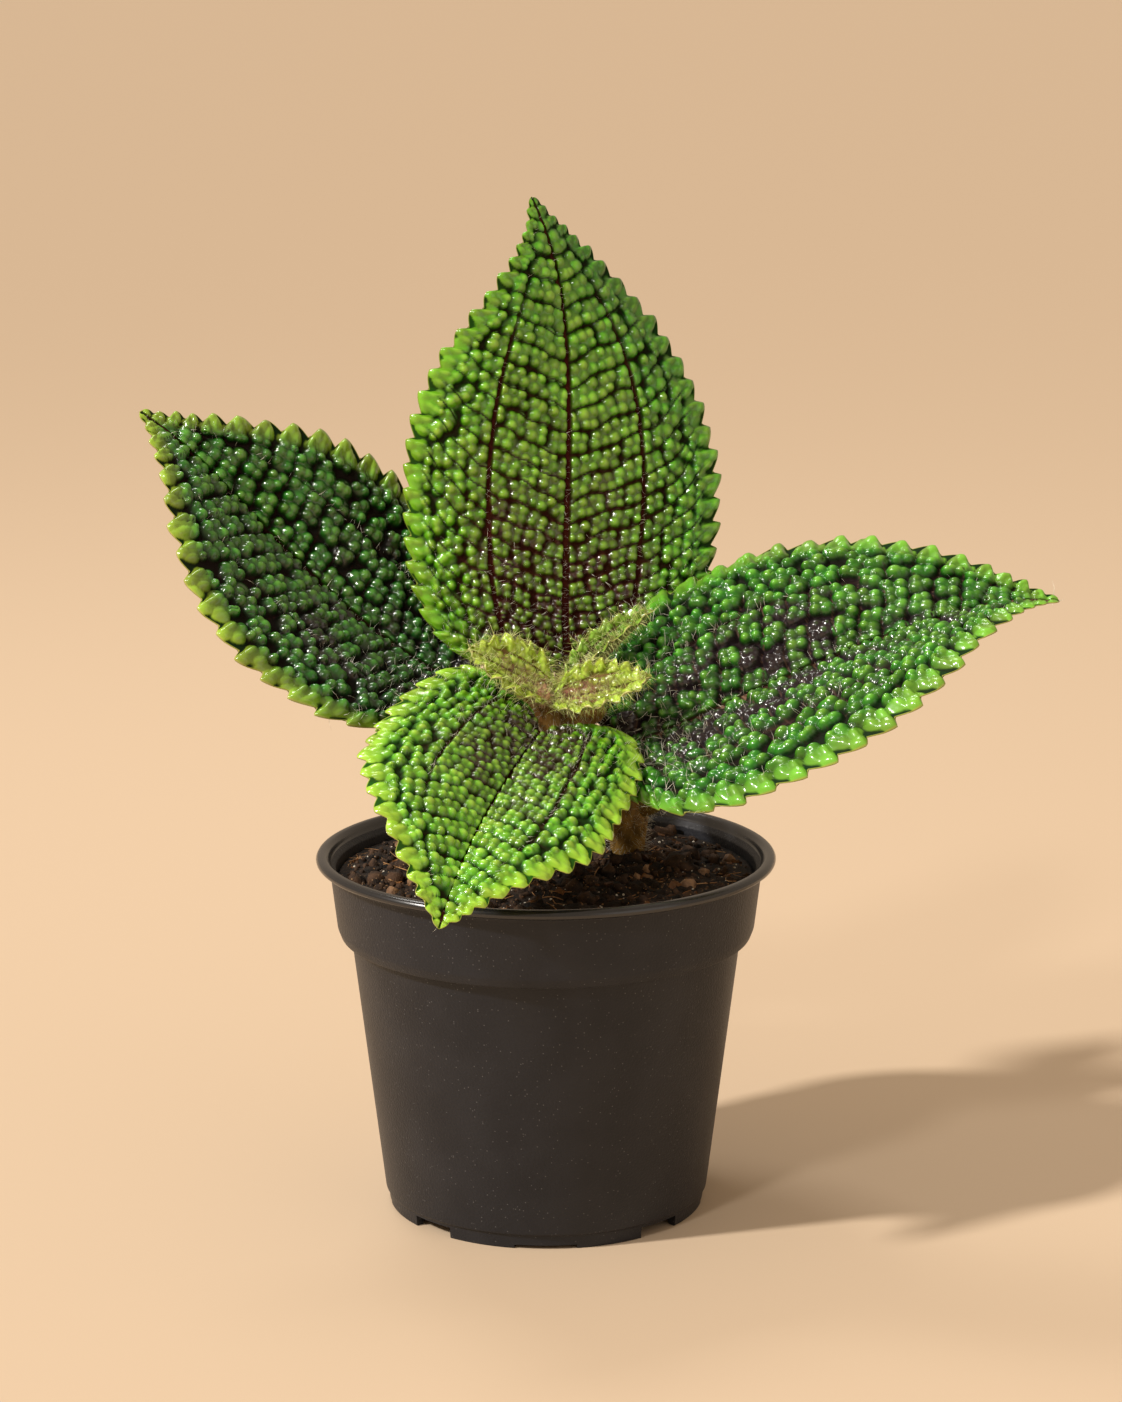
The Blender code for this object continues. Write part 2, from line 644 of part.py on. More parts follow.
def main():
    clear_scene()
    parts = new_collection("friendship_plant")
    cutters = new_collection("cutters")
    stem_points = curve_points(STEM_PATH, STEM_SAMPLES)
    stem = add_part("stem", tube_mesh("stem", stem_points, STEM_SIDES), parts)
    stem.data.shade_smooth()
    room_mesh = tube_mesh("stem_room", lengthened(stem_points), STEM_SIDES, grow=CLEARANCE)
    stem_room = add_cutter("stem_room", room_mesh, cutters)
    build_pot(parts, cutters)
    build_soil(parts, stem_room)
    for name, leaf in LEAVES.items():
        build_leaf(name, leaf, stem_room, parts, cutters)
    build_growing_tip(parts, cutters, stem_room)
    bpy.context.view_layer.update()


main()
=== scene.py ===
"""The looks of a friendship plant in its round pot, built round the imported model.

Every sub-assembly is a class that holds its sizes in millimetres and makes its own fine meshes: the turned
pot, the bed of potting soil, the stem with its petioles, the puckered leaf blades and the hairy shoot tip.
"""
import sys
import logging
import math
from dataclasses import dataclass, field
from enum import Enum
from typing import Any, ClassVar

import bmesh
import bpy
import numpy as np
from mathutils import Matrix, Vector, noise
from mathutils.kdtree import KDTree


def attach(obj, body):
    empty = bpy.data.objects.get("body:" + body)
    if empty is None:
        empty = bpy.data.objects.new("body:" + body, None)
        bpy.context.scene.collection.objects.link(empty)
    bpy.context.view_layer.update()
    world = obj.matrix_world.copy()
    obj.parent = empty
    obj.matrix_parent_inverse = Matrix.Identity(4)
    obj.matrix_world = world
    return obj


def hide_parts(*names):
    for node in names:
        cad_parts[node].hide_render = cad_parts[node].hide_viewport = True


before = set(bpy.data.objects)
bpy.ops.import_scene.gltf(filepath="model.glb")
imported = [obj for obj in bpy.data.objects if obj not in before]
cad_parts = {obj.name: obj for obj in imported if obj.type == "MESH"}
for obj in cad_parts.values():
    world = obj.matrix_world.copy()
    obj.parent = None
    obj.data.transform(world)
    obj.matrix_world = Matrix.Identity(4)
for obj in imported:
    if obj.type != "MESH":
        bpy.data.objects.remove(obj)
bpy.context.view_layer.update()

LOG = logging.getLogger("friendship_plant")
MM = 0.001
BODY = "root"
# Distance in metres within which doubled points are one
WELD = 1.0e-6
# Square centimetres in a square metre
SQUARE_CENTIMETRES = 1.0e4
# How many places along a leaf its midrib and margin are measured at
MEASURED = 401

Point = tuple[float, float, float]
Stations = tuple[tuple[float, float], ...]
Paint = tuple[int, int, int]

BROAD_OUTLINE: Stations = (
    (0.0, 0.16), (0.05, 0.64), (0.1, 0.84), (0.2, 0.96), (0.35, 1.0), (0.5, 0.93),
    (0.6, 0.82), (0.7, 0.64), (0.8, 0.42), (0.87, 0.255), (0.92, 0.15), (0.955, 0.08),
    (0.98, 0.05), (1.0, 0.0),
)
WIDE_OUTLINE: Stations = ((0.0, 0.42), *BROAD_OUTLINE[1:])
HEART_OUTLINE: Stations = (
    (0.0, 0.20), (0.05, 0.72), (0.1, 0.90), (0.2, 1.0), (0.35, 1.0), (0.5, 0.90),
    (0.6, 0.77), (0.7, 0.60), (0.8, 0.42), (0.87, 0.29), (0.93, 0.17), (1.0, 0.0),
)
YOUNG_OUTLINE: Stations = (
    (0.0, 0.30), (0.08, 0.64), (0.2, 0.92), (0.4, 1.0), (0.6, 0.87), (0.8, 0.55), (0.92, 0.25), (1.0, 0.0),
)


def linear(paint: Paint) -> tuple[float, float, float, float]:
    """Turn a colour of 0 to 255 as a screen shows it into the linear colour a shader takes."""
    share = [c / 255.0 for c in paint]
    return (*(c / 12.92 if c <= 0.04045 else ((c + 0.055) / 1.055) ** 2.4 for c in share), 1.0)


def ease(low: float, high: float, value: np.ndarray) -> np.ndarray:
    """Rise smoothly from 0 at low to 1 at high."""
    share = np.clip((value - low) / (high - low), 0.0, 1.0)
    return share * share * (3.0 - 2.0 * share)


def smooth_values(stations: Stations, x: np.ndarray) -> np.ndarray:
    """Read a monotone smooth curve through (position, value) stations.

    Args:
        stations: The positions, in rising order, with their values.
        x: Where to read the curve.

    Returns:
        The curve's value at each x.
    """
    knots, values = np.array(stations, float).T
    step = np.diff(knots)
    slope = np.diff(values) / step
    tangent = np.concatenate((slope[:1], np.zeros(len(slope) - 1), slope[-1:]))
    product = slope[:-1] * slope[1:]
    total = np.where(product > 0, slope[:-1] + slope[1:], 1.0)
    tangent[1:-1] = np.where(product > 0, 2.0 * product / total, 0.0)
    i = np.clip(np.searchsorted(knots, x, side="right") - 1, 0, len(step) - 1)
    t = (x - knots[i]) / step[i]
    start = (1 + 2 * t) * (1 - t) ** 2 * values[i] + t * (1 - t) ** 2 * step[i] * tangent[i]
    return start + t * t * (3 - 2 * t) * values[i + 1] + t * t * (t - 1) * step[i] * tangent[i + 1]


def through(path: list[tuple[float, ...]], samples: int) -> np.ndarray:
    """Sample a smooth curve through points that carry a radius as their fourth number."""
    knots = np.array(path, float)
    place = np.linspace(0.0, len(path) - 1, samples + 1)
    i = np.minimum(place.astype(int), len(path) - 2)
    t = (place - i)[:, None]
    p0, p1 = knots[np.maximum(i - 1, 0)], knots[i]
    p2, p3 = knots[i + 1], knots[np.minimum(i + 2, len(path) - 1)]
    curve = 0.5 * (2 * p1 + (p2 - p0) * t + (2 * p0 - 5 * p1 + 4 * p2 - p3) * t**2
                   + (3 * p1 - p0 - 3 * p2 + p3) * t**3)
    curve[:, 3] = (p1 + (p2 - p1) * t)[:, 3]
    return curve


def keep_values(mesh: bpy.types.Mesh, name: str, values: np.ndarray) -> None:
    """Keep a number for each vertex on a mesh, in place of any that it has under that name."""
    layer = mesh.attributes.get(name) or mesh.attributes.new(name, "FLOAT", "POINT")
    layer.data.foreach_set("value", np.asarray(values, np.float32))


def make_mesh(name: str, points: np.ndarray, faces: list,
              values: dict[str, np.ndarray]) -> bpy.types.Mesh:
    """Make a smooth shaded mesh from points in millimetres.

    Args:
        name: The mesh's name.
        points: One row of x, y and z for each vertex.
        faces: The vertex numbers of each face, seen from outside in counter-clockwise order.
        values: Numbers to keep on the vertices, by attribute name.

    Returns:
        The new mesh, in metres.
    """
    mesh = bpy.data.meshes.new(name)
    mesh.from_pydata((points * MM).tolist(), [], faces)
    for key, value in values.items():
        keep_values(mesh, key, value)
    mesh.shade_smooth()
    mesh.update()
    return mesh


def show(name: str, mesh: bpy.types.Mesh, finish: bpy.types.Material | None = None) -> bpy.types.Object:
    """Put a mesh in the scene as an object at the origin, with its material."""
    obj = bpy.data.objects.new(name, mesh)
    bpy.context.scene.collection.objects.link(obj)
    if finish is not None:
        mesh.materials.clear()
        mesh.materials.append(finish)
    return obj


def fasten(obj: bpy.types.Object, slot: str, *nodes: str) -> bpy.types.Object:
    """Let a finished piece ride on the part and hide the nodes it stands for."""
    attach(obj, BODY)
    if nodes:
        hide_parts(*nodes)
    obj.data.calc_loop_triangles()
    LOG.info("%s: %d triangles", obj.name, len(obj.data.loop_triangles))
    return obj


class Graph:
    """Short calls that add nodes to one node tree and join them."""

    def __init__(self, tree: bpy.types.NodeTree) -> None:
        """Keep the tree that the nodes go into."""
        self.tree = tree

    def add(self, kind: str, inputs: dict[str | int, Any] | None = None, **settings: Any) -> bpy.types.Node:
        """Add one node.

        Args:
            kind: The node's type name.
            inputs: By socket name or number, a value for the socket or a socket to join to it.
            settings: The node's own properties.

        Returns:
            The new node.
        """
        node = self.tree.nodes.new(kind)
        for key, value in settings.items():
            setattr(node, key, value)
        for key, value in (inputs or {}).items():
            self.set(node.inputs[key], value)
        return node

    def set(self, socket: bpy.types.NodeSocket, value: Any) -> None:
        """Give a socket a value, or join it to another socket."""
        if isinstance(value, bpy.types.NodeSocket):
            self.tree.links.new(value, socket)
        else:
            socket.default_value = value

    def math(self, operation: str, a: Any, b: Any = 0.0) -> bpy.types.NodeSocket:
        """One step of arithmetic on two numbers."""
        return self.add("ShaderNodeMath", {0: a, 1: b}, operation=operation).outputs[0]

    def mix(self, share: Any, a: Any, b: Any) -> bpy.types.NodeSocket:
        """Lay colour b over colour a by a share from 0 to 1."""
        return self.add("ShaderNodeMix", {0: share, 6: a, 7: b}, data_type="RGBA").outputs[2]

    def span(self, value: Any, low: float, high: float, start: float = 0.0,
             end: float = 1.0) -> bpy.types.NodeSocket:
        """Move a value smoothly from start to end as it rises from low to high."""
        inputs = {"Value": value, "From Min": low, "From Max": high, "To Min": start, "To Max": end}
        return self.add("ShaderNodeMapRange", inputs, interpolation_type="SMOOTHSTEP").outputs["Result"]

    def noise(self, place: Any, scale: float, detail: float = 3.0) -> bpy.types.NodeSocket:
        """Soft noise from 0 to 1 over a place, scale features to the metre."""
        node = self.add("ShaderNodeTexNoise", {"Vector": place, "Scale": scale, "Detail": detail})
        return node.outputs[0]

    def place(self) -> bpy.types.NodeSocket:
        """The point of the surface in the part's own frame."""
        return self.add("ShaderNodeTexCoord").outputs["Object"]

    def value(self, name: str) -> bpy.types.NodeSocket:
        """A number that the mesh keeps on its vertices, for a shader."""
        return self.add("ShaderNodeAttribute", attribute_name=name).outputs["Fac"]

    def field(self, name: str) -> bpy.types.NodeSocket:
        """A number that the mesh keeps on its vertices, for a geometry tree."""
        kept = self.add("GeometryNodeInputNamedAttribute", {"Name": name}, data_type="FLOAT")
        return kept.outputs["Attribute"]

    def roughened(self, mesh: Any, reach: Any, scale: float, detail: float) -> bpy.types.NodeSocket:
        """Push a mesh in and out along its normals with soft noise."""
        uneven = self.noise(self.add("GeometryNodeInputPosition").outputs[0], scale, detail)
        push = self.math("MULTIPLY", self.math("SUBTRACT", uneven, 0.5), reach)
        normal = self.add("GeometryNodeInputNormal").outputs[0]
        offset = self.add("ShaderNodeVectorMath", {0: normal, "Scale": push}, operation="SCALE").outputs[0]
        return self.add("GeometryNodeSetPosition", {"Geometry": mesh, "Offset": offset}).outputs[0]

    def coated(self, mesh: Any, smooth: bool, finish: Any) -> bpy.types.NodeSocket:
        """Shade a mesh smooth or flat and give it its material."""
        shaded = self.add("GeometryNodeSetShadeSmooth", {"Geometry": mesh, "Shade Smooth": smooth}).outputs[0]
        return self.add("GeometryNodeSetMaterial", {"Geometry": shaded, "Material": finish}).outputs[0]


def new_group(name: str, kind: str, inputs: dict[str, tuple[str, Any]],
              outputs: dict[str, str]) -> tuple[Graph, dict[str, bpy.types.NodeSocket], bpy.types.Node]:
    """Start a node group with named sockets.

    Args:
        name: The group's name.
        kind: ShaderNodeTree or GeometryNodeTree.
        inputs: For each input, its socket type without the common prefix, and its default value or None.
        outputs: For each output, its socket type without the common prefix.

    Returns:
        The graph to add nodes with, the inputs' sockets by name, and the output node.
    """
    tree = bpy.data.node_groups.new(name, kind)
    for key, (socket, value) in inputs.items():
        item = tree.interface.new_socket(key, in_out="INPUT", socket_type="NodeSocket" + socket)
        if value is not None:
            item.default_value = value
    for key, socket in outputs.items():
        tree.interface.new_socket(key, in_out="OUTPUT", socket_type="NodeSocket" + socket)
    graph = Graph(tree)
    entry = graph.add("NodeGroupInput")
    return graph, {key: entry.outputs[key] for key in inputs}, graph.add("NodeGroupOutput")


def blade_colouring() -> bpy.types.NodeTree:
    """The shared group that colours a puckered blade from the numbers its mesh keeps.

    The mesh gives height (0 in a groove, 1 on top of a pucker), vein, cell (a random share for each
    pucker), maroon (where the grooves are red), dusk (the dark middle), painted_shade (painted shade: the
    green darker on the parts turned from the light), margin (the lighter rim, partly painted light), edge
    and under.

    Returns:
        The node tree, with a Color, a Roughness, a Height and a Gloss output.
    """
    names = ("Crown", "Body", "Flank", "Valley", "Groove", "Vein", "Dusk", "Margin", "Edge", "Under",
             "Under Vein")
    inputs = {name: ("Color", (0.5, 0.5, 0.5, 1.0)) for name in names}
    outputs = {"Color": "Color", "Roughness": "Float", "Height": "Float", "Gloss": "Float"}
    graph, paint, result = new_group("blade colouring", "ShaderNodeTree", inputs, outputs)
    place = graph.place()
    height, vein, dusk = graph.value("height"), graph.value("vein"), graph.value("dusk")
    margin, under = graph.value("margin"), graph.value("under")
    mottle = graph.noise(place, 260.0, 4.0)
    # Colour by height: the grooves' own maroon; where there is none, the near-black Valley green and the
    # darker Flank green are painted shade in the creases and down the pucker sides.
    colour = graph.mix(graph.value("maroon"), paint["Valley"], paint["Groove"])
    colour = graph.mix(graph.span(height, 0.04, 0.36), colour, paint["Flank"])
    colour = graph.mix(graph.span(height, 0.28, 0.68), colour, paint["Body"])
    # The lighter Crown on the pucker tops is partly the leaf's own light green and partly a painted
    # highlight.
    top = graph.math("MULTIPLY", graph.span(height, 0.66, 1.0), graph.span(mottle, 0.25, 0.75, 0.55, 1.0))
    colour = graph.mix(top, colour, paint["Crown"])
    dark = graph.math("MULTIPLY", dusk, graph.span(height, 0.35, 1.0, 1.0, 0.35))
    colour = graph.mix(dark, colour, paint["Dusk"])
    # The lighter rim: the rim's own lime, and partly painted light where the rim catches the light.
    fresh = graph.mix(graph.span(height, 0.0, 0.4), paint["Flank"], paint["Margin"])
    colour = graph.mix(margin, colour, fresh)
    colour = graph.mix(vein, colour, paint["Vein"])
    colour = graph.mix(graph.value("edge"), colour, paint["Edge"])
    # Painted shade: where painted_shade is high, the green is painted darker and a little bluer, for the
    # parts turned from the light.
    painted_shade = graph.value("painted_shade")
    hue = graph.math("ADD", graph.span(graph.value("cell"), 0.0, 1.0, 0.490, 0.510),
                     graph.math("MULTIPLY", painted_shade, 0.03))
    bright = graph.math("MULTIPLY", graph.span(graph.value("cell"), 0.0, 1.0, 0.86, 1.14),
                        graph.span(painted_shade, 0.0, 1.0, 1.0, 0.62))
    tone = graph.add("ShaderNodeHueSaturation", {"Hue": hue, "Value": bright, "Color": colour})
    below = graph.mix(graph.span(height, 0.2, 0.8), paint["Under Vein"], paint["Under"])
    below = graph.mix(vein, below, paint["Under Vein"])
    colour = graph.mix(under, tone.outputs[0], below)
    pores = graph.noise(place, 5200.0, 2.0)
    rough = graph.math("ADD", graph.span(height, 0.1, 0.6, 0.75, 0.34),
                       graph.span(pores, 0.2, 0.8, -0.06, 0.08))
    rough = graph.math("ADD", rough, graph.math("MULTIPLY", under, 0.25))
    graph.set(result.inputs["Color"], colour)
    graph.set(result.inputs["Roughness"], rough)
    graph.set(result.inputs["Height"], graph.math("ADD", graph.math("MULTIPLY", mottle, 0.6), pores))
    graph.set(result.inputs["Gloss"], graph.span(height, 0.2, 0.6))
    return graph.tree


def mottled_skin() -> bpy.types.NodeTree:
    """The shared group for anything with a plain uneven skin: two colours, specks and a fine grain.

    Returns:
        The node tree, with a Color, a Roughness and a Height output.
    """
    inputs = {
        "Light": ("Color", (0.5, 0.5, 0.5, 1.0)), "Dark": ("Color", (0.1, 0.1, 0.1, 1.0)),
        "Speck": ("Color", (0.8, 0.8, 0.8, 1.0)), "Patch Scale": ("Float", 300.0),
        "Grain Scale": ("Float", 3000.0), "Speck Scale": ("Float", 2500.0), "Speck Share": ("Float", 0.1),
        "Smoothest": ("Float", 0.4), "Roughest": ("Float", 0.6), "Stretch": ("Vector", (1.0, 1.0, 1.0)),
    }
    outputs = {"Color": "Color", "Roughness": "Float", "Height": "Float"}
    graph, given, result = new_group("mottled skin", "ShaderNodeTree", inputs, outputs)
    place = graph.add("ShaderNodeVectorMath", {0: graph.place(), 1: given["Stretch"]}, operation="MULTIPLY")
    place = place.outputs[0]
    patch = graph.add("ShaderNodeTexNoise", {"Vector": place, "Scale": given["Patch Scale"], "Detail": 4.0})
    grain = graph.add("ShaderNodeTexNoise", {"Vector": place, "Scale": given["Grain Scale"], "Detail": 2.0})
    speck = graph.add("ShaderNodeTexVoronoi", {"Vector": place, "Scale": given["Speck Scale"]})
    chance = graph.add("ShaderNodeSeparateColor", {0: speck.outputs["Color"]}).outputs[0]
    near = graph.span(speck.outputs["Distance"], 0.15, 0.4, 1.0, 0.0)
    picked = graph.math("MULTIPLY", near, graph.math("LESS_THAN", chance, given["Speck Share"]))
    colour = graph.mix(graph.span(patch.outputs[0], 0.3, 0.7), given["Dark"], given["Light"])
    colour = graph.mix(picked, colour, given["Speck"])
    inputs = {"Value": grain.outputs[0], "To Min": given["Smoothest"], "To Max": given["Roughest"]}
    rough = graph.add("ShaderNodeMapRange", inputs)
    graph.set(result.inputs["Color"], colour)
    graph.set(result.inputs["Roughness"], rough.outputs["Result"])
    height = graph.math("ADD", grain.outputs[0], graph.math("MULTIPLY", patch.outputs[0], 0.5))
    graph.set(result.inputs["Height"], height)
    return graph.tree


def dressed(name: str, group: bpy.types.NodeTree, inputs: dict[str, Any], bump: float,
            shader: dict[str, Any]) -> bpy.types.Material:
    """Make a material whose colour, roughness and bump come from a shared group.

    Args:
        name: The material's name.
        group: The shared group.
        inputs: Values for the group's inputs, by name.
        bump: How far the group's height lifts the surface, in millimetres.
        shader: Values set on the Principled shader's own sockets.

    Returns:
        The material.
    """
    material = bpy.data.materials.new(name)
    material.use_nodes = True
    material.node_tree.nodes.clear()
    graph = Graph(material.node_tree)
    skin = graph.add("ShaderNodeGroup", node_tree=group)
    for key, value in inputs.items():
        graph.set(skin.inputs[key], value)
    lift = {"Height": skin.outputs["Height"], "Distance": bump * MM, "Strength": 1.0}
    relief = graph.add("ShaderNodeBump", lift)
    main = graph.add("ShaderNodeBsdfPrincipled", {
        "Base Color": skin.outputs["Color"], "Roughness": skin.outputs["Roughness"],
        "Normal": relief.outputs[0], **shader})
    if "Gloss" in skin.outputs:
        gloss = graph.math("MULTIPLY", skin.outputs["Gloss"], shader["Coat Weight"])
        graph.set(main.inputs["Coat Weight"], gloss)
    graph.add("ShaderNodeOutputMaterial", {"Surface": main.outputs[0]})
    return material


@dataclass(frozen=True)
class BladeFinish:
    """The colours of one puckered blade, as a screen shows them."""

    # Lighter green on the pucker tops, partly a painted highlight
    crown: Paint
    body: Paint
    # Flank and valley: darker and near-black green, painted shade down the pucker sides and in the creases
    flank: Paint
    valley: Paint
    groove: Paint
    vein: Paint
    dusk: Paint
    margin: Paint
    edge: Paint = (96, 66, 30)
    under: Paint = (122, 142, 76)
    under_vein: Paint = (150, 140, 92)
    bump: float = 0.035
    gloss: float = 1.0

    def material(self, name: str, group: bpy.types.NodeTree) -> bpy.types.Material:
        """The finish as a material that uses the shared blade colouring."""
        keys = ("crown", "body", "flank", "valley", "groove", "vein", "dusk", "margin", "edge", "under",
                "under_vein")
        inputs = {key.replace("_", " ").title(): linear(getattr(self, key)) for key in keys}
        shader = {"Coat Weight": self.gloss, "Coat Roughness": 0.16, "Coat IOR": 1.58,
                  "Specular IOR Level": 0.16}
        return dressed(name, group, inputs, self.bump, shader)


@dataclass(frozen=True)
class SkinFinish:
    """The colours and grain of a plain uneven skin."""

    light: Paint
    dark: Paint
    speck: Paint
    patch: float = 300.0
    grain: float = 3000.0
    speck_scale: float = 2500.0
    speck_share: float = 0.1
    smoothest: float = 0.5
    roughest: float = 0.8
    stretch: Point = (1.0, 1.0, 1.0)
    bump: float = 0.05
    shine: float = 0.3

    def material(self, name: str, group: bpy.types.NodeTree) -> bpy.types.Material:
        """The finish as a material that uses the shared mottled skin."""
        inputs = {
            "Light": linear(self.light), "Dark": linear(self.dark), "Speck": linear(self.speck),
            "Patch Scale": self.patch, "Grain Scale": self.grain, "Speck Scale": self.speck_scale,
            "Speck Share": self.speck_share, "Smoothest": self.smoothest, "Roughest": self.roughest,
            "Stretch": self.stretch,
        }
        return dressed(name, group, inputs, self.bump, {"Specular IOR Level": self.shine})


class Scatter(Enum):
    """What a scattering tree plants on a surface."""

    HAIR = "hair"
    CRUMB = "crumb"
    CHIP = "chip"
    FIBRE = "fibre"


@dataclass(frozen=True)
class Planting:
    """How small repeats stand on a surface, with lengths in millimetres.

    Density is how many stand on a square centimetre where the surface's growth is 1. Length is the longest
    repeat's, or a crumb's radius, and thickness a repeat's radius or thickness. Smallest is the smallest
    repeat as a share of the longest, tilt how far one may lean in radians, and ruffle how far noise pushes
    its surface.
    """

    kind: Scatter
    density: float
    length: float
    thickness: float = 0.0
    smallest: float = 0.4
    tilt: float = 0.6
    ruffle: float = 0.0

    def values(self) -> dict[str, float]:
        """The scattering tree's inputs, by name."""
        return {
            "Density": self.density * SQUARE_CENTIMETRES, "Length": self.length * MM,
            "Thickness": self.thickness * MM, "Smallest": self.smallest, "Tilt": self.tilt,
            "Ruffle": self.ruffle * MM,
        }


class Sower:
    """Plants small repeats on a surface with Geometry Nodes and keeps them as a plain mesh."""

    def __init__(self) -> None:
        """Start with no tree made."""
        self.trees: dict[Scatter, bpy.types.NodeTree] = {}

    def shape(self, graph: Graph, kind: Scatter,
              given: dict[str, bpy.types.NodeSocket]) -> bpy.types.NodeSocket:
        """The one shape that is planted many times, standing on its root along z."""
        length, thick = given["Length"], given["Thickness"]
        if kind is Scatter.HAIR:
            cone = graph.add("GeometryNodeMeshCone", {
                "Vertices": 3, "Side Segments": 2, "Radius Top": 0.0, "Radius Bottom": thick,
                "Depth": length})
            return self.bent(graph, cone.outputs["Mesh"], length, 0.35)
        if kind is Scatter.FIBRE:
            rod = graph.add("GeometryNodeMeshCylinder", {
                "Vertices": 4, "Side Segments": 6, "Radius": thick, "Depth": length})
            laid = graph.add("GeometryNodeTransform", {"Geometry": rod.outputs["Mesh"],
                                                       "Rotation": (0.0, math.radians(90.0), 0.0)})
            return self.bent(graph, laid.outputs[0], length, 0.6, "X")
        if kind is Scatter.CHIP:
            cube = graph.add("GeometryNodeMeshCube", {"Vertices X": 4, "Vertices Y": 3, "Vertices Z": 2})
            size = graph.add("ShaderNodeCombineXYZ", {
                0: length, 1: graph.math("MULTIPLY", length, 0.5), 2: thick}).outputs[0]
            scaled = {"Geometry": cube.outputs["Mesh"], "Scale": size}
            return graph.add("GeometryNodeTransform", scaled).outputs[0]
        ball = graph.add("GeometryNodeMeshUVSphere", {"Radius": length, "Segments": 7, "Rings": 5})
        return ball.outputs["Mesh"]

    def bent(self, graph: Graph, mesh: bpy.types.NodeSocket, length: bpy.types.NodeSocket, amount: float,
             axis: str = "Z") -> bpy.types.NodeSocket:
        """Bow a slim shape sideways, by a share of its length at its end."""
        split = graph.add("ShaderNodeSeparateXYZ", {0: graph.add("GeometryNodeInputPosition").outputs[0]})
        share = graph.math("DIVIDE", split.outputs[axis], length)
        reach = graph.math("MULTIPLY", length, amount)
        bow = graph.math("MULTIPLY", graph.math("MULTIPLY", share, share), reach)
        offset = graph.add("ShaderNodeCombineXYZ", {"X" if axis == "Z" else "Y": bow}).outputs[0]
        return graph.add("GeometryNodeSetPosition", {"Geometry": mesh, "Offset": offset}).outputs[0]

    def tree(self, kind: Scatter) -> bpy.types.NodeTree:
        """The scattering tree of one kind, made on its first use."""
        if kind in self.trees:
            return self.trees[kind]
        inputs = {
            "Geometry": ("Geometry", None), "Density": ("Float", 1.0), "Length": ("Float", 0.001),
            "Thickness": ("Float", 0.0001), "Smallest": ("Float", 0.5), "Tilt": ("Float", 0.5),
            "Ruffle": ("Float", 0.0), "Seed": ("Int", 1), "Finish": ("Material", None),
        }
        graph, given, result = new_group(f"scattered {kind.value}", "GeometryNodeTree", inputs,
                                         {"Geometry": "Geometry"})
        density = graph.math("MULTIPLY", given["Density"], graph.field("growth"))
        points = graph.add("GeometryNodeDistributePointsOnFaces", {
            "Mesh": given["Geometry"], "Density": density, "Seed": given["Seed"]})
        yaw = self.random(graph, -math.pi, math.pi, given["Seed"], 1)
        lean = graph.math("MULTIPLY", self.random(graph, -1.0, 1.0, given["Seed"], 2), given["Tilt"])
        turn = graph.add("ShaderNodeCombineXYZ", {0: lean, 1: 0.0, 2: yaw}).outputs[0]
        turn = graph.add("FunctionNodeEulerToRotation", {0: turn}).outputs[0]
        facing = graph.add("FunctionNodeRotateRotation", {
            "Rotation": points.outputs["Rotation"], "Rotate By": turn}, rotation_space="LOCAL").outputs[0]
        scale = graph.add("FunctionNodeRandomValue", {
            2: given["Smallest"], 3: 1.0, "Seed": graph.math("ADD", given["Seed"], 3.0)}, data_type="FLOAT")
        planted = graph.add("GeometryNodeInstanceOnPoints", {
            "Points": points.outputs["Points"], "Instance": self.shape(graph, kind, given),
            "Rotation": facing, "Scale": scale.outputs[1]})
        real = graph.add("GeometryNodeRealizeInstances", {"Geometry": planted.outputs[0]}).outputs[0]
        rough = graph.roughened(real, given["Ruffle"], 900.0, 2.0)
        coated = graph.coated(rough, kind is not Scatter.CHIP, given["Finish"])
        graph.set(result.inputs["Geometry"], coated)
        self.trees[kind] = graph.tree
        return graph.tree

    def random(self, graph: Graph, low: float, high: float, seed: bpy.types.NodeSocket,
               step: int) -> bpy.types.NodeSocket:
        """A random number for each point, from its own stream of the given seed."""
        stream = graph.math("ADD", seed, float(step))
        return graph.add("FunctionNodeRandomValue", {2: low, 3: high, "Seed": stream},
                         data_type="FLOAT").outputs[1]

    def sow(self, name: str, ground: bpy.types.Mesh, planting: Planting, finish: bpy.types.Material,
            seed: int) -> bpy.types.Object:
        """Plant one kind of repeat on a surface.

        Args:
            name: The new piece's name.
            ground: The surface, with a growth attribute that scales the density.
            planting: What is planted, and how.
            finish: The material of the repeats.
            seed: The seed of the random draw.

        Returns:
            The piece, a plain mesh of its own.
        """
        values = {**planting.values(), "Seed": seed, "Finish": finish}
        return grown(name, ground, self.tree(planting.kind), values)


def grown(name: str, ground: bpy.types.Mesh, tree: bpy.types.NodeTree,
          values: dict[str, Any]) -> bpy.types.Object:
    """Run a geometry tree on a mesh and keep the result as a plain mesh.

    Args:
        name: The new piece's name.
        ground: The mesh that the tree starts from, which stays as it is.
        tree: The geometry tree.
        values: The tree's inputs, by name.

    Returns:
        The piece.
    """
    holder = show(name + "_ground", ground)
    modifier = holder.modifiers.new(tree.name, "NODES")
    modifier.node_group = tree
    for item in tree.interface.items_tree:
        if item.in_out == "INPUT" and item.name in values:
            modifier[item.identifier] = values[item.name]
    bpy.context.view_layer.update()
    graph = bpy.context.evaluated_depsgraph_get()
    mesh = bpy.data.meshes.new_from_object(
        holder.evaluated_get(graph), preserve_all_data_layers=True, depsgraph=graph)
    mesh.name = name
    holder.modifiers.remove(modifier)
    bpy.data.objects.remove(holder, do_unlink=True)
    return show(name, mesh)


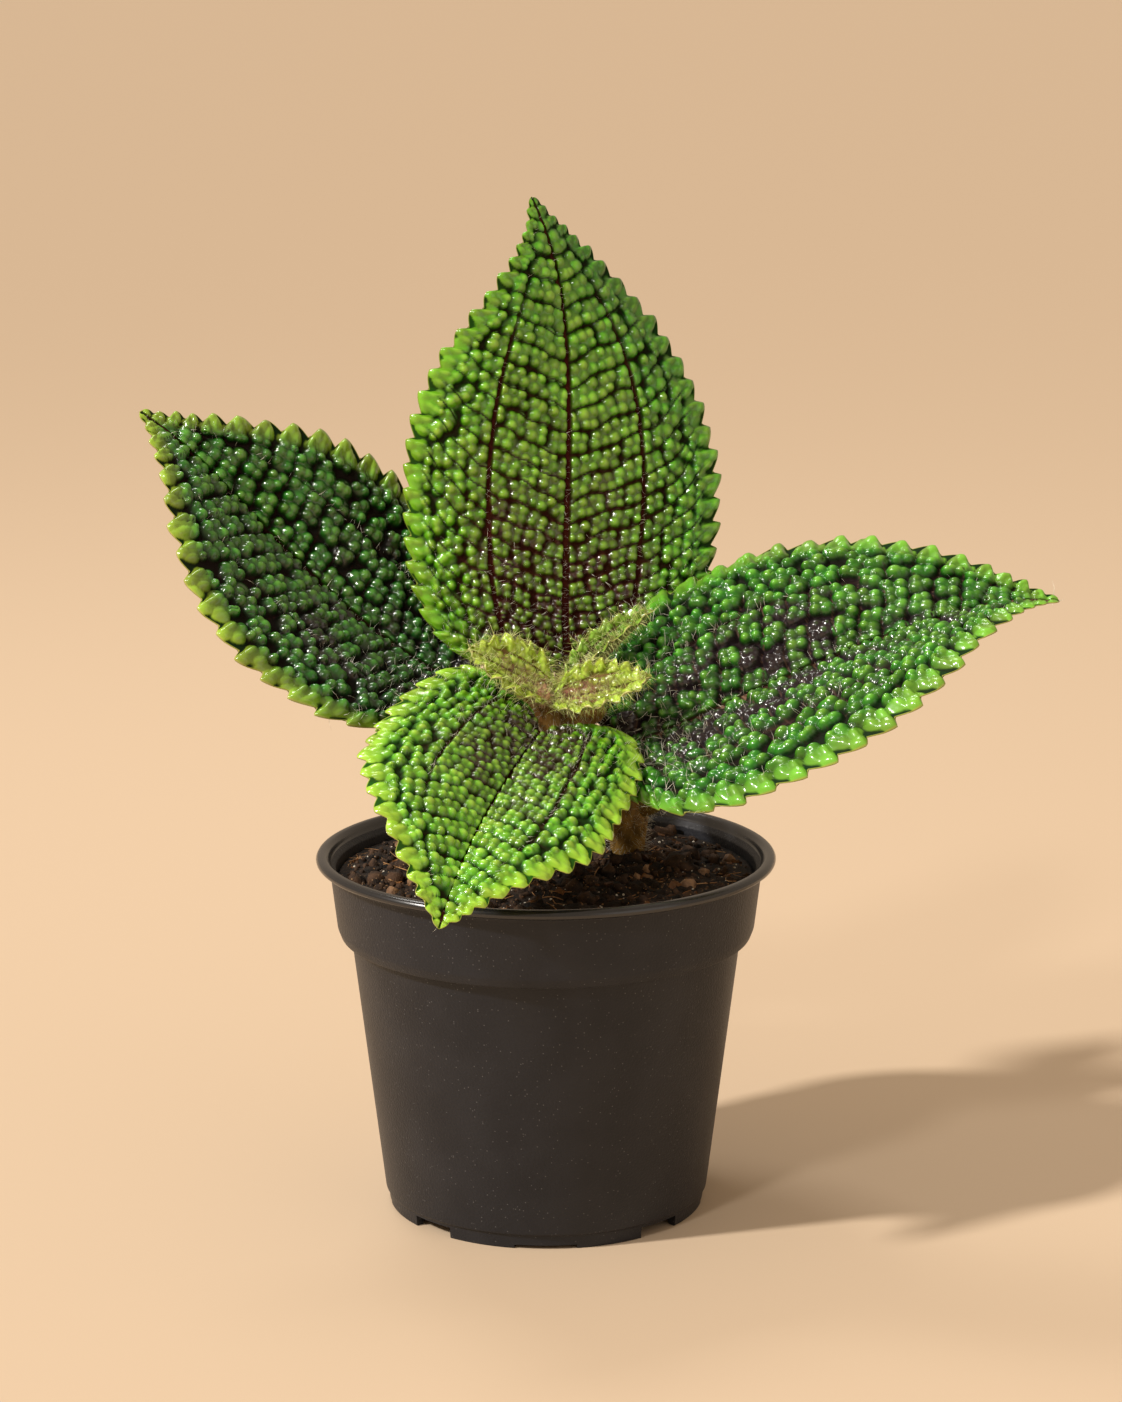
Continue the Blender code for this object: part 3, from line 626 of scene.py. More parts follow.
class Tubes:
    """Makes round stalks along a path with Geometry Nodes."""

    def __init__(self) -> None:
        """Build the tree once."""
        inputs = {
            "Geometry": ("Geometry", None), "Sides": ("Int", 16), "Ruffle": ("Float", 0.0),
            "Finish": ("Material", None),
        }
        graph, given, result = new_group("stalk", "GeometryNodeTree", inputs, {"Geometry": "Geometry"})
        line = graph.add("GeometryNodeMeshToCurve", {"Mesh": given["Geometry"]}).outputs[0]
        ring = graph.add("GeometryNodeCurvePrimitiveCircle", {"Resolution": given["Sides"], "Radius": 1.0})
        thick = graph.field("thickness")
        sized = graph.add("GeometryNodeSetCurveRadius", {"Curve": line, "Radius": thick}).outputs[0]
        sweep = {"Curve": sized, "Profile Curve": ring.outputs["Curve"], "Scale": thick, "Fill Caps": True}
        skin = graph.add("GeometryNodeCurveToMesh", sweep).outputs[0]
        merged = graph.add("GeometryNodeMergeByDistance", {"Geometry": skin, "Distance": WELD}).outputs[0]
        rough = graph.roughened(merged, given["Ruffle"], 420.0, 3.0)
        graph.set(result.inputs["Geometry"], graph.coated(rough, True, given["Finish"]))
        self.tree = graph.tree

    def lay(self, name: str, path: np.ndarray, finish: bpy.types.Material, sides: int,
            ruffle: float) -> bpy.types.Object:
        """Sweep a stalk along a path.

        Args:
            name: The piece's name.
            path: Points in millimetres with the radius as a fourth number.
            finish: The stalk's material.
            sides: How many sides the stalk has.
            ruffle: How uneven its skin is, in millimetres.

        Returns:
            The stalk, a plain mesh with a growth attribute of 1 all over.
        """
        line = bpy.data.meshes.new(name + "_line")
        edges = [(i, i + 1) for i in range(len(path) - 1)]
        line.from_pydata((path[:, :3] * MM).tolist(), edges, [])
        keep_values(line, "thickness", path[:, 3] * MM)
        obj = grown(name, line, self.tree, {"Sides": sides, "Ruffle": ruffle * MM, "Finish": finish})
        keep_values(obj.data, "growth", np.ones(len(obj.data.vertices)))
        return obj


@dataclass
class Workshop:
    """What every sub-assembly shares: the groups, the sower and the stalk maker."""

    blade_group: bpy.types.NodeTree = field(default_factory=blade_colouring)
    skin_group: bpy.types.NodeTree = field(default_factory=mottled_skin)
    sower: Sower = field(default_factory=Sower)
    tubes: Tubes = field(default_factory=Tubes)
    finishes: dict[str, bpy.types.Material] = field(default_factory=dict)

    def skin(self, name: str, finish: SkinFinish) -> bpy.types.Material:
        """The material of a plain finish, made on its first use."""
        if name not in self.finishes:
            self.finishes[name] = finish.material(name, self.skin_group)
        return self.finishes[name]


PALE_HAIR = SkinFinish((245, 244, 230), (226, 222, 200), (250, 250, 240), smoothest=0.35, roughest=0.5,
                       bump=0.0)
LIME_HAIR = SkinFinish((236, 240, 170), (200, 214, 116), (240, 240, 200), smoothest=0.4, roughest=0.6,
                       bump=0.0)
BROWN_HAIR = SkinFinish((196, 152, 124), (136, 96, 84), (204, 176, 146), smoothest=0.4, roughest=0.6,
                        bump=0.0)
STEM_SKIN = SkinFinish((160, 124, 60), (84, 62, 24), (160, 138, 84), patch=420.0, speck_share=0.2,
                       stretch=(1.0, 1.0, 0.35), smoothest=0.45, roughest=0.7, bump=0.12)
PETIOLE_SKIN = SkinFinish((142, 132, 62), (104, 76, 34), (176, 160, 96), patch=380.0, speck_share=0.15,
                          smoothest=0.4, roughest=0.6, bump=0.08)
# The young petioles' skin: their own tan, painted lighter as well, which is painted light on their lit side.
SHOOT_TAN_AND_LIGHT = SkinFinish((176, 132, 78), (116, 88, 38), (206, 166, 118), patch=380.0, speck_share=0.15,
                        smoothest=0.4, roughest=0.6, bump=0.08)
BUD_HAIR = SkinFinish((240, 208, 178), (206, 162, 132), (246, 226, 200), smoothest=0.4, roughest=0.6,
                      bump=0.0)
BUD_SKIN = SkinFinish((206, 166, 130), (160, 118, 90), (226, 200, 170), patch=700.0, smoothest=0.45,
                      roughest=0.6, bump=0.05)

STEM_FUR = Planting(Scatter.HAIR, 150.0, 2.0, 0.055)
PETIOLE_FUR = Planting(Scatter.HAIR, 130.0, 1.7, 0.06)
TROUGH_FUR = Planting(Scatter.HAIR, 220.0, 2.4, 0.08, tilt=1.1)
BUD_FUR = Planting(Scatter.HAIR, 900.0, 1.6, 0.07, tilt=0.7)

# A tooth's bumps: each one's turn along the margin in teeth, its depth and its radius in tooth radii
TOOTH_BUMPS = (
    (0.06, 0.35, 0.62), (-0.24, 0.85, 0.56), (0.22, 0.9, 0.58), (0.0, 1.5, 0.62), (-0.34, 1.7, 0.5),
)
# Where along a tooth its bumps gather, and its radius as a share of the pitch of the teeth
TOOTH_MIDDLE = 0.6
TOOTH_RADIUS = 0.42
# How near a tooth's bump a pucker is left out, and how near it joins the tooth's cluster, in its radii
TOOTH_CLEARANCE = 0.85
TOOTH_HOLD = 1.3


@dataclass(frozen=True)
class Relief:
    """How a blade is puckered between its sunken veins, in millimetres."""

    height: float = 1.7
    pitch_base: float = 1.8
    pitch_tip: float = 2.8
    across: float = 2.15
    across_outer: float = 2.4
    plump: float = 0.69
    huddle: float = 0.87
    filling: float = 0.6
    missing: float = 0.01
    jitter: float = 0.2
    rise: float = 0.27
    sweep: float = 0.62
    steeper: float = 0.8
    rung_every: int = 2
    midrib_room: float = 0.55
    lateral_room: float = 0.3
    lateral_tone: float = 0.85
    lateral_end: float = 0.86
    rung_room: float = 0.12
    ridge: float = 0.3


@dataclass(frozen=True)
class Pearls:
    """Where a blade's puckers sit on the flattened leaf: round pearls that huddle in clusters."""

    places: np.ndarray
    radii: np.ndarray
    clusters: np.ndarray
    centres: np.ndarray
    spreads: np.ndarray


@dataclass(frozen=True)
class Petiole:
    """A leaf's stalk: its route from the stem, its radius and where it ends along the midrib."""

    route: tuple[Point, ...]
    radius: float = 2.0
    end: float = 0.16
    rib: float = 2.4
    sink: float = 0.25


@dataclass
class Blade:
    """One leaf: a curved, toothed and puckered blade on its petiole.

    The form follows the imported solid's own, with folds, curls and lobes a little changed: a cubic midrib, a
    direction it faces that turns from base to tip, a fold and a curl on each side of the midrib, and an
    outline of width shares. Sizes are millimetres.
    """

    name: str
    slot: str
    midrib: tuple[Point, Point, Point, Point]
    face_base: Point
    face_tip: Point
    half_width: float
    teeth: int
    petiole: Petiole
    finish: BladeFinish
    grid: tuple[int, int]
    seed: int
    outline: Stations = BROAD_OUTLINE
    left_share: float = 1.0
    right_share: float = 1.0
    fold_left: float = 0.3
    fold_right: float = 0.3
    curl_left: float = -0.3
    curl_right: float = -0.3
    lobe: float = 0.4
    relief: Relief = Relief()
    tooth: float = 2.2
    tooth_fade: float = 0.35
    notched: float = 0.7
    lean: float = 0.5
    sinus: float = 1.3
    dusk_base: float = 0.6
    dusk_tip: float = 0.0
    dusk_reach: float = 0.5
    maroon_base: float = 1.0
    maroon_tip: float = 0.5
    maroon_reach: float = 0.6
    painted_shade_base: float = 0.0
    # Painted shade: how much darker the green is painted at the base, at the tip and on the right side, where
    # less light falls.
    painted_shade_tip: float = 0.0
    painted_shade_right: float = 0.0
    patchy: float = 0.35
    # The lighter rim: how far in it reaches and its strength on each side, which is the rim's own lime and
    # partly painted light where the rim catches the light.
    margin_reach: float = 3.4
    margin_and_light_left: float = 1.0
    margin_and_light_right: float = 1.0
    frill: float = 0.0
    edge_height: float = 0.5
    lobe_tilt: float = 0.0
    hair_lean: float = 0.7
    hair: float = 1.0
    hair_length: float = 2.0
    hair_radius: float = 0.045
    down: float = 0.4
    fleece: float = 0.0
    RISE: ClassVar[float] = 0.25
    LOBE_REACH: ClassVar[float] = 0.35
    LATERALS: ClassVar[tuple[float, float]] = (0.46, 0.58)
    THICKNESS: ClassVar[float] = 0.5
    TOOTH_PEAK: ClassVar[float] = 0.76
    HAIR_DENSITY: ClassVar[float] = 110.0
    SHORTEST_HAIR: ClassVar[float] = 0.35
    TROUGH_DUSK: ClassVar[float] = 0.25

    def __post_init__(self) -> None:
        """Measure the midrib and the margin."""
        s = np.linspace(0.0, 1.0, MEASURED)
        points = self.spine(s)[0]
        self.length = float(np.linalg.norm(np.diff(points, axis=0), axis=1).sum())
        self.margin_phase = {}
        for side in (-1.0, 1.0):
            line = self.place(s, np.full_like(s, side), np.zeros_like(s), False)[0]
            step = np.linalg.norm(np.diff(line, axis=0), axis=1) * self.crowding(s[1:])
            run = np.concatenate(([0.0], np.cumsum(step)))
            self.margin_phase[side] = (s, run / run[-1] * self.teeth)
            self.tooth_pitch = float(run[-1]) / self.teeth

    def spine(self, s: np.ndarray) -> tuple[np.ndarray, np.ndarray, np.ndarray, np.ndarray]:
        """Points of the midrib, and its directions along, across and up, at shares s of its run."""
        p = [np.array(point, float) for point in self.midrib]
        t = np.asarray(s, float)[:, None]
        points = (1 - t)**3 * p[0] + 3 * t * (1 - t)**2 * p[1] + 3 * t * t * (1 - t) * p[2] + t**3 * p[3]
        along = (1 - t)**2 * (p[1] - p[0]) + 2 * t * (1 - t) * (p[2] - p[1]) + t * t * (p[3] - p[2])
        along /= np.linalg.norm(along, axis=1, keepdims=True)
        facing = np.array(self.face_base) * (1 - t) + np.array(self.face_tip) * t
        across = np.cross(along, facing)
        across /= np.linalg.norm(across, axis=1, keepdims=True)
        return points, along, across, np.cross(across, along)

    def crowding(self, s: np.ndarray) -> np.ndarray:
        """How many times closer than elsewhere the teeth stand at s, which is more near the tip."""
        return 1 + 0.8 * ease(0.80, 0.94, s)

    def width(self, s: np.ndarray) -> np.ndarray:
        """Half the blade's width at s, before its left and right shares."""
        return smooth_values(self.outline, s) * self.half_width

    def flat(self, s: np.ndarray, t: np.ndarray) -> tuple[np.ndarray, np.ndarray]:
        """Where a point lies on the flattened leaf: across from the midrib and along it."""
        width = self.width(s)
        lobe = self.lobe * (1 - self.lobe_tilt * np.sign(t))
        backward = lobe * np.clip(1 - s / self.LOBE_REACH, 0, None)**2 * np.abs(t)**self.sinus
        forward = (self.RISE * t * t * (1 - s) - backward) * width
        return t * width * np.where(t < 0, self.left_share, self.right_share), s * self.length + forward

    def tooth_profile(self, s: np.ndarray, t: np.ndarray) -> np.ndarray:
        """How far out a tooth stands at the margin beside a point, from 0 in a notch to 1 at its tip."""
        profile = np.zeros_like(s)
        for side, (stations, phases) in self.margin_phase.items():
            on_side = t < 0 if side < 0 else t >= 0
            count = np.interp(s[on_side], stations, phases)
            phase = count % 1.0
            rise = np.sin(np.clip(phase / self.TOOTH_PEAK, 0, 1) * math.pi / 2)**1.1
            fall = np.clip((1 - phase) / (1 - self.TOOTH_PEAK), 0, 1)**0.9
            uneven = 0.86 + 0.14 * np.sin(2.4 * np.floor(count) * np.floor(count) + self.seed + side)
            profile[on_side] = np.where(phase < self.TOOTH_PEAK, rise, fall) * uneven
        return profile

    def place(self, s: np.ndarray, t: np.ndarray, height: np.ndarray,
              toothed: bool = True) -> tuple[np.ndarray, np.ndarray]:
        """Put points of the flattened leaf in space.

        Args:
            s: Shares of the midrib's run, from the petiole to the tip.
            t: Shares of the half width, from -1 at the left margin to 1 at the right.
            height: How far each point is lifted off the blade, in millimetres.
            toothed: Whether the margin has its teeth.

        Returns:
            The points and the blade's unit normals there.
        """
        points, along, across, up = self.spine(s)
        width = self.width(s)
        side = np.where(t < 0, -1.0, 1.0)
        out, forward = self.flat(s, t)
        reach, forward = np.abs(out), forward - s * self.length
        if toothed:
            depth = self.tooth * np.sqrt(np.minimum(1.0, width / self.half_width / self.tooth_fade))
            depth = np.minimum(depth, 0.9 * width) * np.minimum(1.0, s / 0.03)
            pull = depth * self.tooth_profile(s, t) * ease(1.0 - 3.4 / np.maximum(width, 5.0), 1.0, np.abs(t))
            reach = reach + pull - depth * 0.45 * np.abs(t)**3
            forward = forward + self.lean * pull
        fold = np.where(t < 0, self.fold_left, self.fold_right)
        bend = np.where(t < 0, self.curl_left, self.curl_right) / self.half_width
        angle = fold + bend * reach
        sideways = (np.sin(angle) - np.sin(fold)) / bend
        lift = (np.cos(fold) - np.cos(angle)) / bend
        normal = up * np.cos(angle)[:, None] - across * (side * np.sin(angle))[:, None]
        place = points + across * (side * sideways)[:, None] + up * lift[:, None] + along * forward[:, None]
        return place + normal * height[:, None], normal

    def climb(self, u: np.ndarray) -> np.ndarray:
        """How far a secondary vein has risen where it is u from the midrib."""
        beyond = np.clip(np.abs(u) - 0.45 * self.half_width, 0, None)
        return self.relief.rise * np.abs(u) + self.relief.sweep / self.half_width * beyond**2

    def pitch_growth(self) -> float:
        """How much the rows' pitch grows for each millimetre along the leaf."""
        return (self.relief.pitch_tip - self.relief.pitch_base) / self.length

    def row_of(self, u: np.ndarray, v: np.ndarray) -> np.ndarray:
        """The number of the row of puckers that a point of the flattened leaf lies in."""
        r = v - self.wave(u, v) - self.climb(u) * (1 + self.relief.steeper * v / self.length)
        growth = self.pitch_growth()
        return np.log(np.clip(1 + growth * r / self.relief.pitch_base, 1e-3, None)) / growth

    def along_row(self, u: np.ndarray, row: np.ndarray) -> np.ndarray:
        """How far along the leaf the given row lies where it is u from the midrib."""
        growth = self.pitch_growth()
        r = self.relief.pitch_base * (np.exp(growth * row) - 1) / growth
        climb = self.climb(u)
        v = (r + climb) / (1 - self.relief.steeper * climb / self.length)
        return v + self.wave(u, v)

    def wave(self, u: np.ndarray, v: np.ndarray) -> np.ndarray:
        """The gentle unevenness of the rows, in millimetres."""
        broad = 0.35 * np.sin(0.45 * u + 0.21 * v + self.seed)
        return broad + 0.25 * np.sin(0.9 * u - 0.33 * v + 2 * self.seed)

    def pearls(self, rng: np.random.Generator) -> Pearls:
        """Work out where the puckers sit on the flattened leaf and which ones swell up together.

        Args:
            rng: The random draw.

        Returns:
            The pearls and the clusters they huddle in. Each tooth is a cluster of its own.
        """
        s = np.linspace(0.0, 1.0, MEASURED)
        relief = self.relief
        places, radii, keys = [], [], []
        for side in (-1.0, 1.0):
            phases = self.margin_phase[side][1]
            middles = np.arange(self.teeth) + TOOTH_MIDDLE
            radius = TOOTH_RADIUS * self.tooth_pitch / self.crowding(np.interp(middles, phases, s))
            for turn, depth, share in TOOTH_BUMPS:
                spot = np.interp(middles + turn, phases, s)
                inward = np.clip(1.0 - depth * radius / np.maximum(self.width(spot), 0.8), 0.3, 1.0)
                places += np.stack(self.flat(spot, side * inward), 1).tolist()
                radii += (radius * share).tolist()
                keys += [(side, tooth) for tooth in range(self.teeth)]
        fixed = len(places)
        kept = KDTree(fixed)
        for i, (u, v) in enumerate(places):
            kept.insert((u, v, 0.0), i)
        kept.balance()
        for u, v, key in self.lattice(rng):
            _, tooth, far = kept.find((u, v, 0.0))
            if far < TOOTH_CLEARANCE * radii[tooth] or rng.uniform() < relief.missing:
                continue
            along = np.clip(v / self.length, 0, 1)
            pitch = relief.pitch_base + (relief.pitch_tip - relief.pitch_base) * along
            places.append((u, v))
            radii.append(relief.plump * math.sqrt(relief.across * pitch) * rng.uniform(0.8, 1.2))
            keys.append(keys[tooth] if far < TOOTH_HOLD * radii[tooth] else key)
        numbers = {key: number for number, key in enumerate(dict.fromkeys(keys))}
        clusters = np.array([numbers[key] for key in keys])
        places, radii = np.array(places), np.array(radii)
        count = np.bincount(clusters)
        centres = np.stack([np.bincount(clusters, places[:, axis]) / count for axis in (0, 1)], 1)
        spreads = np.bincount(clusters, radii) / count * np.where(count > 1, 1.5, 1.1)
        drawn_in = (1 - relief.huddle) * (centres[clusters] - places)
        places[fixed:] += drawn_in[fixed:]
        return Pearls(places, radii, clusters, centres, spreads)

    def lattice(self, rng: np.random.Generator) -> list[tuple[float, float, tuple[int, ...]]]:
        """The rows and columns the puckers are drawn from: place on the flattened leaf and cluster."""
        s = np.linspace(0.0, 1.0, MEASURED)
        relief = self.relief
        drawn = []
        for side in (-1.0, 1.0):
            lateral_u, lateral_v = self.flat(s, side * self.lateral(s))
            margin_u, margin_v = self.flat(s, np.full_like(s, side))
            first = int(self.row_of(margin_u, margin_v).min()) - 1
            last = int(self.row_of(*self.flat(s, 0 * s)).max())
            lateral_row = self.row_of(lateral_u, lateral_v)
            outline = np.stack((np.abs(margin_u), margin_v), 1)
            shift = 0
            for row in range(first, last + 1):
                middle = row + 0.5
                lateral = abs(np.interp(middle, lateral_row, lateral_u)) if middle > lateral_row[0] else 0.0
                lateral = lateral if lateral > 0.4 * relief.across else 0.0
                shift = int(rng.integers(0, 2)) if row % 2 == 0 else shift
                for start, end, across in ((0.0, lateral, relief.across),
                                           (lateral, self.half_width * 1.15, relief.across_outer)):
                    count = max(1, round((end - start) / across)) if end > start else 0
                    nudge = 0.2 * rng.uniform(-1, 1)
                    u = start + (np.arange(count) + 0.5 + nudge) * (end - start) / max(count, 1)
                    u = u + rng.uniform(-1, 1, count) * relief.jitter * relief.across
                    v = self.along_row(u, np.full(count, middle))
                    v = v + rng.uniform(-1, 1, count) * relief.jitter * relief.pitch_base
                    for column, (a, b) in enumerate(zip(u, v)):
                        if inside(outline, self.length, a, b):
                            cluster = (int(side), row // 2, int(start > 0), (column + shift) // 2)
                            drawn.append((side * a, b, cluster))
        return drawn

    def lateral(self, s: np.ndarray) -> np.ndarray:
        """The share of the half width at which the lateral veins run."""
        low, high = self.LATERALS
        return low + (high - low) * s

    def surface(self, s: np.ndarray, t: np.ndarray) -> dict[str, np.ndarray]:
        """Work out the relief and the colour numbers of points of the upper face.

        Args:
            s: Shares of the midrib's run.
            t: Shares of the half width.

        Returns:
            By name, a number for each point: lift in millimetres, dusk from 0 to 2.5, and height, vein,
            cell, maroon, painted_shade (painted shade), margin (partly painted light), edge and growth from
            0 to 1.
        """
        rng = np.random.default_rng(self.seed)
        pearls = self.pearls(rng)
        shade = rng.uniform(0, 1, len(pearls.places))
        tall = rng.uniform(0.78, 1.0, len(pearls.places))
        mood = rng.uniform(0, 1, len(pearls.centres))
        u, v = self.flat(s, t)
        relief = self.relief
        far, which = nearest(pearls.places, u, v, 6)
        beads = (domed(far, pearls.radii[which]) * tall[which]).max(axis=1)
        apart, cluster = nearest(pearls.centres, u, v, 3)
        filling = domed(apart, pearls.spreads[cluster]).max(axis=1) * relief.filling
        raised = np.maximum(beads, filling)
        which = which[:, 0]
        mood = mood[pearls.clusters[which]]
        width = self.width(s)
        to_margin = (1 - np.abs(t)) * width
        to_midrib = np.abs(u)
        share = np.where(t < 0, self.left_share, self.right_share)
        to_lateral = np.abs(np.abs(u) - self.lateral(s) * width * share)
        row = self.row_of(u, v) / relief.rung_every
        pitch = relief.pitch_base + (relief.pitch_tip - relief.pitch_base) * s
        to_rung = np.abs(row - np.round(row)) * relief.rung_every * pitch
        inner = ease(1.2, 4.0, to_margin)
        thin = ease(0.03, 0.35, width / self.half_width)
        room = relief.midrib_room * (0.45 + 0.55 * (1 - s))
        midrib = 1 - ease(room * 0.7, room * 1.7, to_midrib)
        lateral = (1 - ease(relief.lateral_room * 0.6, relief.lateral_room * 1.9, to_lateral)) * thin
        ending = 1 - ease(relief.lateral_end - 0.3, relief.lateral_end, s)
        lateral = lateral * ending
        rung = (1 - ease(relief.rung_room * 0.5, relief.rung_room * 2.4, to_rung)) * inner
        raised = raised * (1 - midrib) * (1 - 0.9 * lateral) * (1 - 0.6 * rung)
        tone = np.clip(raised, 0, 1)
        raised = raised * ease(-0.3, 0.9, to_margin) * (0.5 + 0.5 * thin)
        notch = (1 - ease(0.05, 0.6, self.tooth_profile(s, t))) * (1 - ease(1.0, 4.5, to_margin))
        raised = raised * (1 - self.notched * notch)
        # The colour's height is lowered in the notches too, so the notches between the teeth get painted
        # shade.
        tone = tone * (1 - 0.4 * self.notched * notch)
        raised = raised * (self.edge_height + (1 - self.edge_height) * ease(0.5, 5.5, to_margin))
        fading = thin * ending
        midrib_line = np.exp(-(to_midrib / 0.26)**2)
        lateral_line = relief.lateral_tone * 0.6 * np.exp(-(to_lateral / 0.2)**2) * fading
        lift = relief.height * raised + relief.ridge * (midrib_line + lateral_line) * (1 - ease(0.9, 1.0, s))
        ruffle = np.sin(2 * math.pi * (self.teeth * 0.5 * s) + self.seed) * ease(0.45, 1.0, np.abs(t))
        lift = lift + self.frill * ruffle
        off = np.abs(t) + 0.16 * (shade[which] - 0.5)
        middle = 1 - ease(self.dusk_reach * 0.55, self.dusk_reach * 1.45, off)
        dusk = (self.dusk_base * (1 - ease(0.0, 0.75, s)) + self.dusk_tip * s) * middle
        dusk = dusk * (1 - self.patchy + self.patchy * 3.5 * mood**3)
        maroon = 1 - ease(self.maroon_reach - 0.25, self.maroon_reach + 0.25, off)
        maroon = maroon * (self.maroon_base * (1 - s) + self.maroon_tip * s)
        vein = np.maximum(np.maximum(midrib * ease(0.0, 0.12, width / self.half_width),
                                     relief.lateral_tone * lateral),
                          0.45 * rung * maroon)
        # Painted shade: darker green at the base, at the tip and on the right side, where less light falls.
        painted_shade = self.painted_shade_base * (1 - ease(0.05, 0.45, s)) + self.painted_shade_tip * ease(0.4, 0.95, s)
        painted_shade = painted_shade + self.painted_shade_right * ease(0.1, 0.9, t)
        # The lighter rim by side: its own lime, and partly painted light where the rim catches the light.
        rim_and_light_share = np.where(t < 0, self.margin_and_light_left, self.margin_and_light_right)
        margin = (1 - ease(0.0, self.margin_reach, to_margin)) * rim_and_light_share
        near_vein = np.maximum(1 - ease(0.2, 0.9, to_midrib), 1 - ease(0.1, 0.7, to_lateral))
        growth = near_vein * (0.2 + 0.8 * (1 - ease(0.1, 0.7, s))) + self.down * (1 - ease(0.02, 0.3, s))
        fleece = self.fleece * (0.15 + 0.85 * (1 - ease(0.3, 1.6, to_margin)))
        return {
            "lift": lift, "height": tone, "vein": vein, "cell": shade[which], "maroon": np.clip(maroon, 0, 1),
            "dusk": np.clip(dusk, 0, 2.5), "painted_shade": np.clip(painted_shade, 0, 1),
            "margin": margin * (0.65 + 0.35 * shade[which]), "edge": 1 - ease(0.0, 0.15, to_margin),
            "growth": np.clip(growth + fleece, 0, 1),
        }

    def sheet(self) -> bpy.types.Mesh:
        """Build the blade as a closed sheet: a fine upper face, a coarser lower one and the rim between."""
        rows, columns = self.grid
        i, j = np.meshgrid(np.arange(rows), np.arange(columns + 1), indexing="ij")
        s = np.concatenate((i.ravel() / rows, [1.0]))
        t = np.concatenate((j.ravel() * 2.0 / columns - 1.0, [0.0]))
        values = self.surface(s, t)
        upper, _ = self.place(s, t, values["lift"])
        keep = np.flatnonzero((i.ravel() % 2 == 0) & (j.ravel() % 2 == 0))
        to_margin = (1 - np.abs(t[keep])) * self.width(s[keep])
        rib = np.clip(values["vein"][keep], 0, 1) * (1 - s[keep]) * 0.7
        rim = 0.35 + 0.65 * ease(0.0, 3.0, to_margin)
        sunk = 0.45 * values["lift"][keep] - self.THICKNESS * rim - rib
        lower, _ = self.place(s[keep], t[keep], sunk)
        points = np.concatenate((upper, lower))
        del values["lift"]
        numbers = {key: np.concatenate((value, value[keep])) for key, value in values.items()}
        numbers["under"] = np.concatenate((np.zeros(len(upper)), np.ones(len(lower))))
        fringe = 1 - ease(0.6, 2.2, to_margin)
        numbers["growth"][len(upper):] = fringe * (self.fleece > 0)
        return make_mesh(self.name + "_blade", points, sheet_faces(rows, columns), numbers)

    def stalk(self) -> np.ndarray:
        """The petiole's route from the stem's middle to under the midrib, where it thins into the rib."""
        path = [(*point, self.petiole.radius) for point in self.petiole.route]
        for share in (0.35, 1.0):
            s = np.array([self.petiole.end * share])
            start, stop = self.petiole.radius * 0.85, self.petiole.rib * 0.3
            radius = start + (stop - start) * share
            point, normal = self.place(s, np.zeros(1), np.zeros(1), False)
            path.append((*(point - normal * (radius + self.petiole.sink))[0], radius))
        return through(path, 28)

    def build(self, shop: Workshop) -> None:
        """Make the blade, its petiole and their hairs."""
        name, sow = self.name, shop.sower.sow
        blade = show(name + "_blade", self.sheet(), self.finish.material(name + "_skin", shop.blade_group))
        pale = shop.skin("pale_hair", PALE_HAIR)
        coat = shop.skin("lime_hair", LIME_HAIR) if self.fleece else pale
        # The young leaves' petioles take the lighter tan skin, which is partly painted light.
        bark = shop.skin("shoot_tan_and_light_skin", SHOOT_TAN_AND_LIGHT) if self.fleece else shop.skin("petiole_skin", PETIOLE_SKIN)
        stalk = shop.tubes.lay(name + "_petiole", self.stalk(), bark, 18, 0.3)
        hairs = Planting(Scatter.HAIR, self.HAIR_DENSITY * self.hair, self.hair_length, self.hair_radius,
                         self.SHORTEST_HAIR, self.hair_lean)
        pieces = [
            stalk,
            sow(name + "_blade_hairs", blade.data.copy(), hairs, coat, self.seed + 1),
            sow(name + "_petiole_hairs", stalk.data.copy(), PETIOLE_FUR, pale, self.seed + 2),
        ]
        if self.fleece:
            trough = blade.data.copy()
            dusk = np.zeros(len(trough.vertices), np.float32)
            trough.attributes["dusk"].data.foreach_get("value", dusk)
            keep_values(trough, "growth", dusk > self.TROUGH_DUSK)
            brown = shop.skin("brown_hair", BROWN_HAIR)
            pieces.append(sow(name + "_trough_hairs", trough, TROUGH_FUR, brown, self.seed + 3))
        fasten(blade, self.slot, self.name)
        for piece in pieces:
            fasten(piece, self.slot)


def inside(outline: np.ndarray, length: float, u: float, v: float) -> bool:
    """Whether a point lies on one half of the flattened leaf.

    Args:
        outline: The half's margin, from the petiole to the tip.
        length: The midrib's length.
        u: The point's distance from the midrib.
        v: The point's place along the midrib.

    Returns:
        True where the point lies between the midrib and the margin.
    """
    shape = np.concatenate(([(0.0, 0.0)], outline, [(0.0, length)]))
    x0, y0 = shape.T
    x1, y1 = np.roll(shape, -1, axis=0).T
    crosses = (y0 > v) != (y1 > v)
    rise = np.where(y1 == y0, 1.0, y1 - y0)
    at = x0 + (v - y0) * (x1 - x0) / rise
    return bool(np.count_nonzero(crosses & (at > u)) % 2)


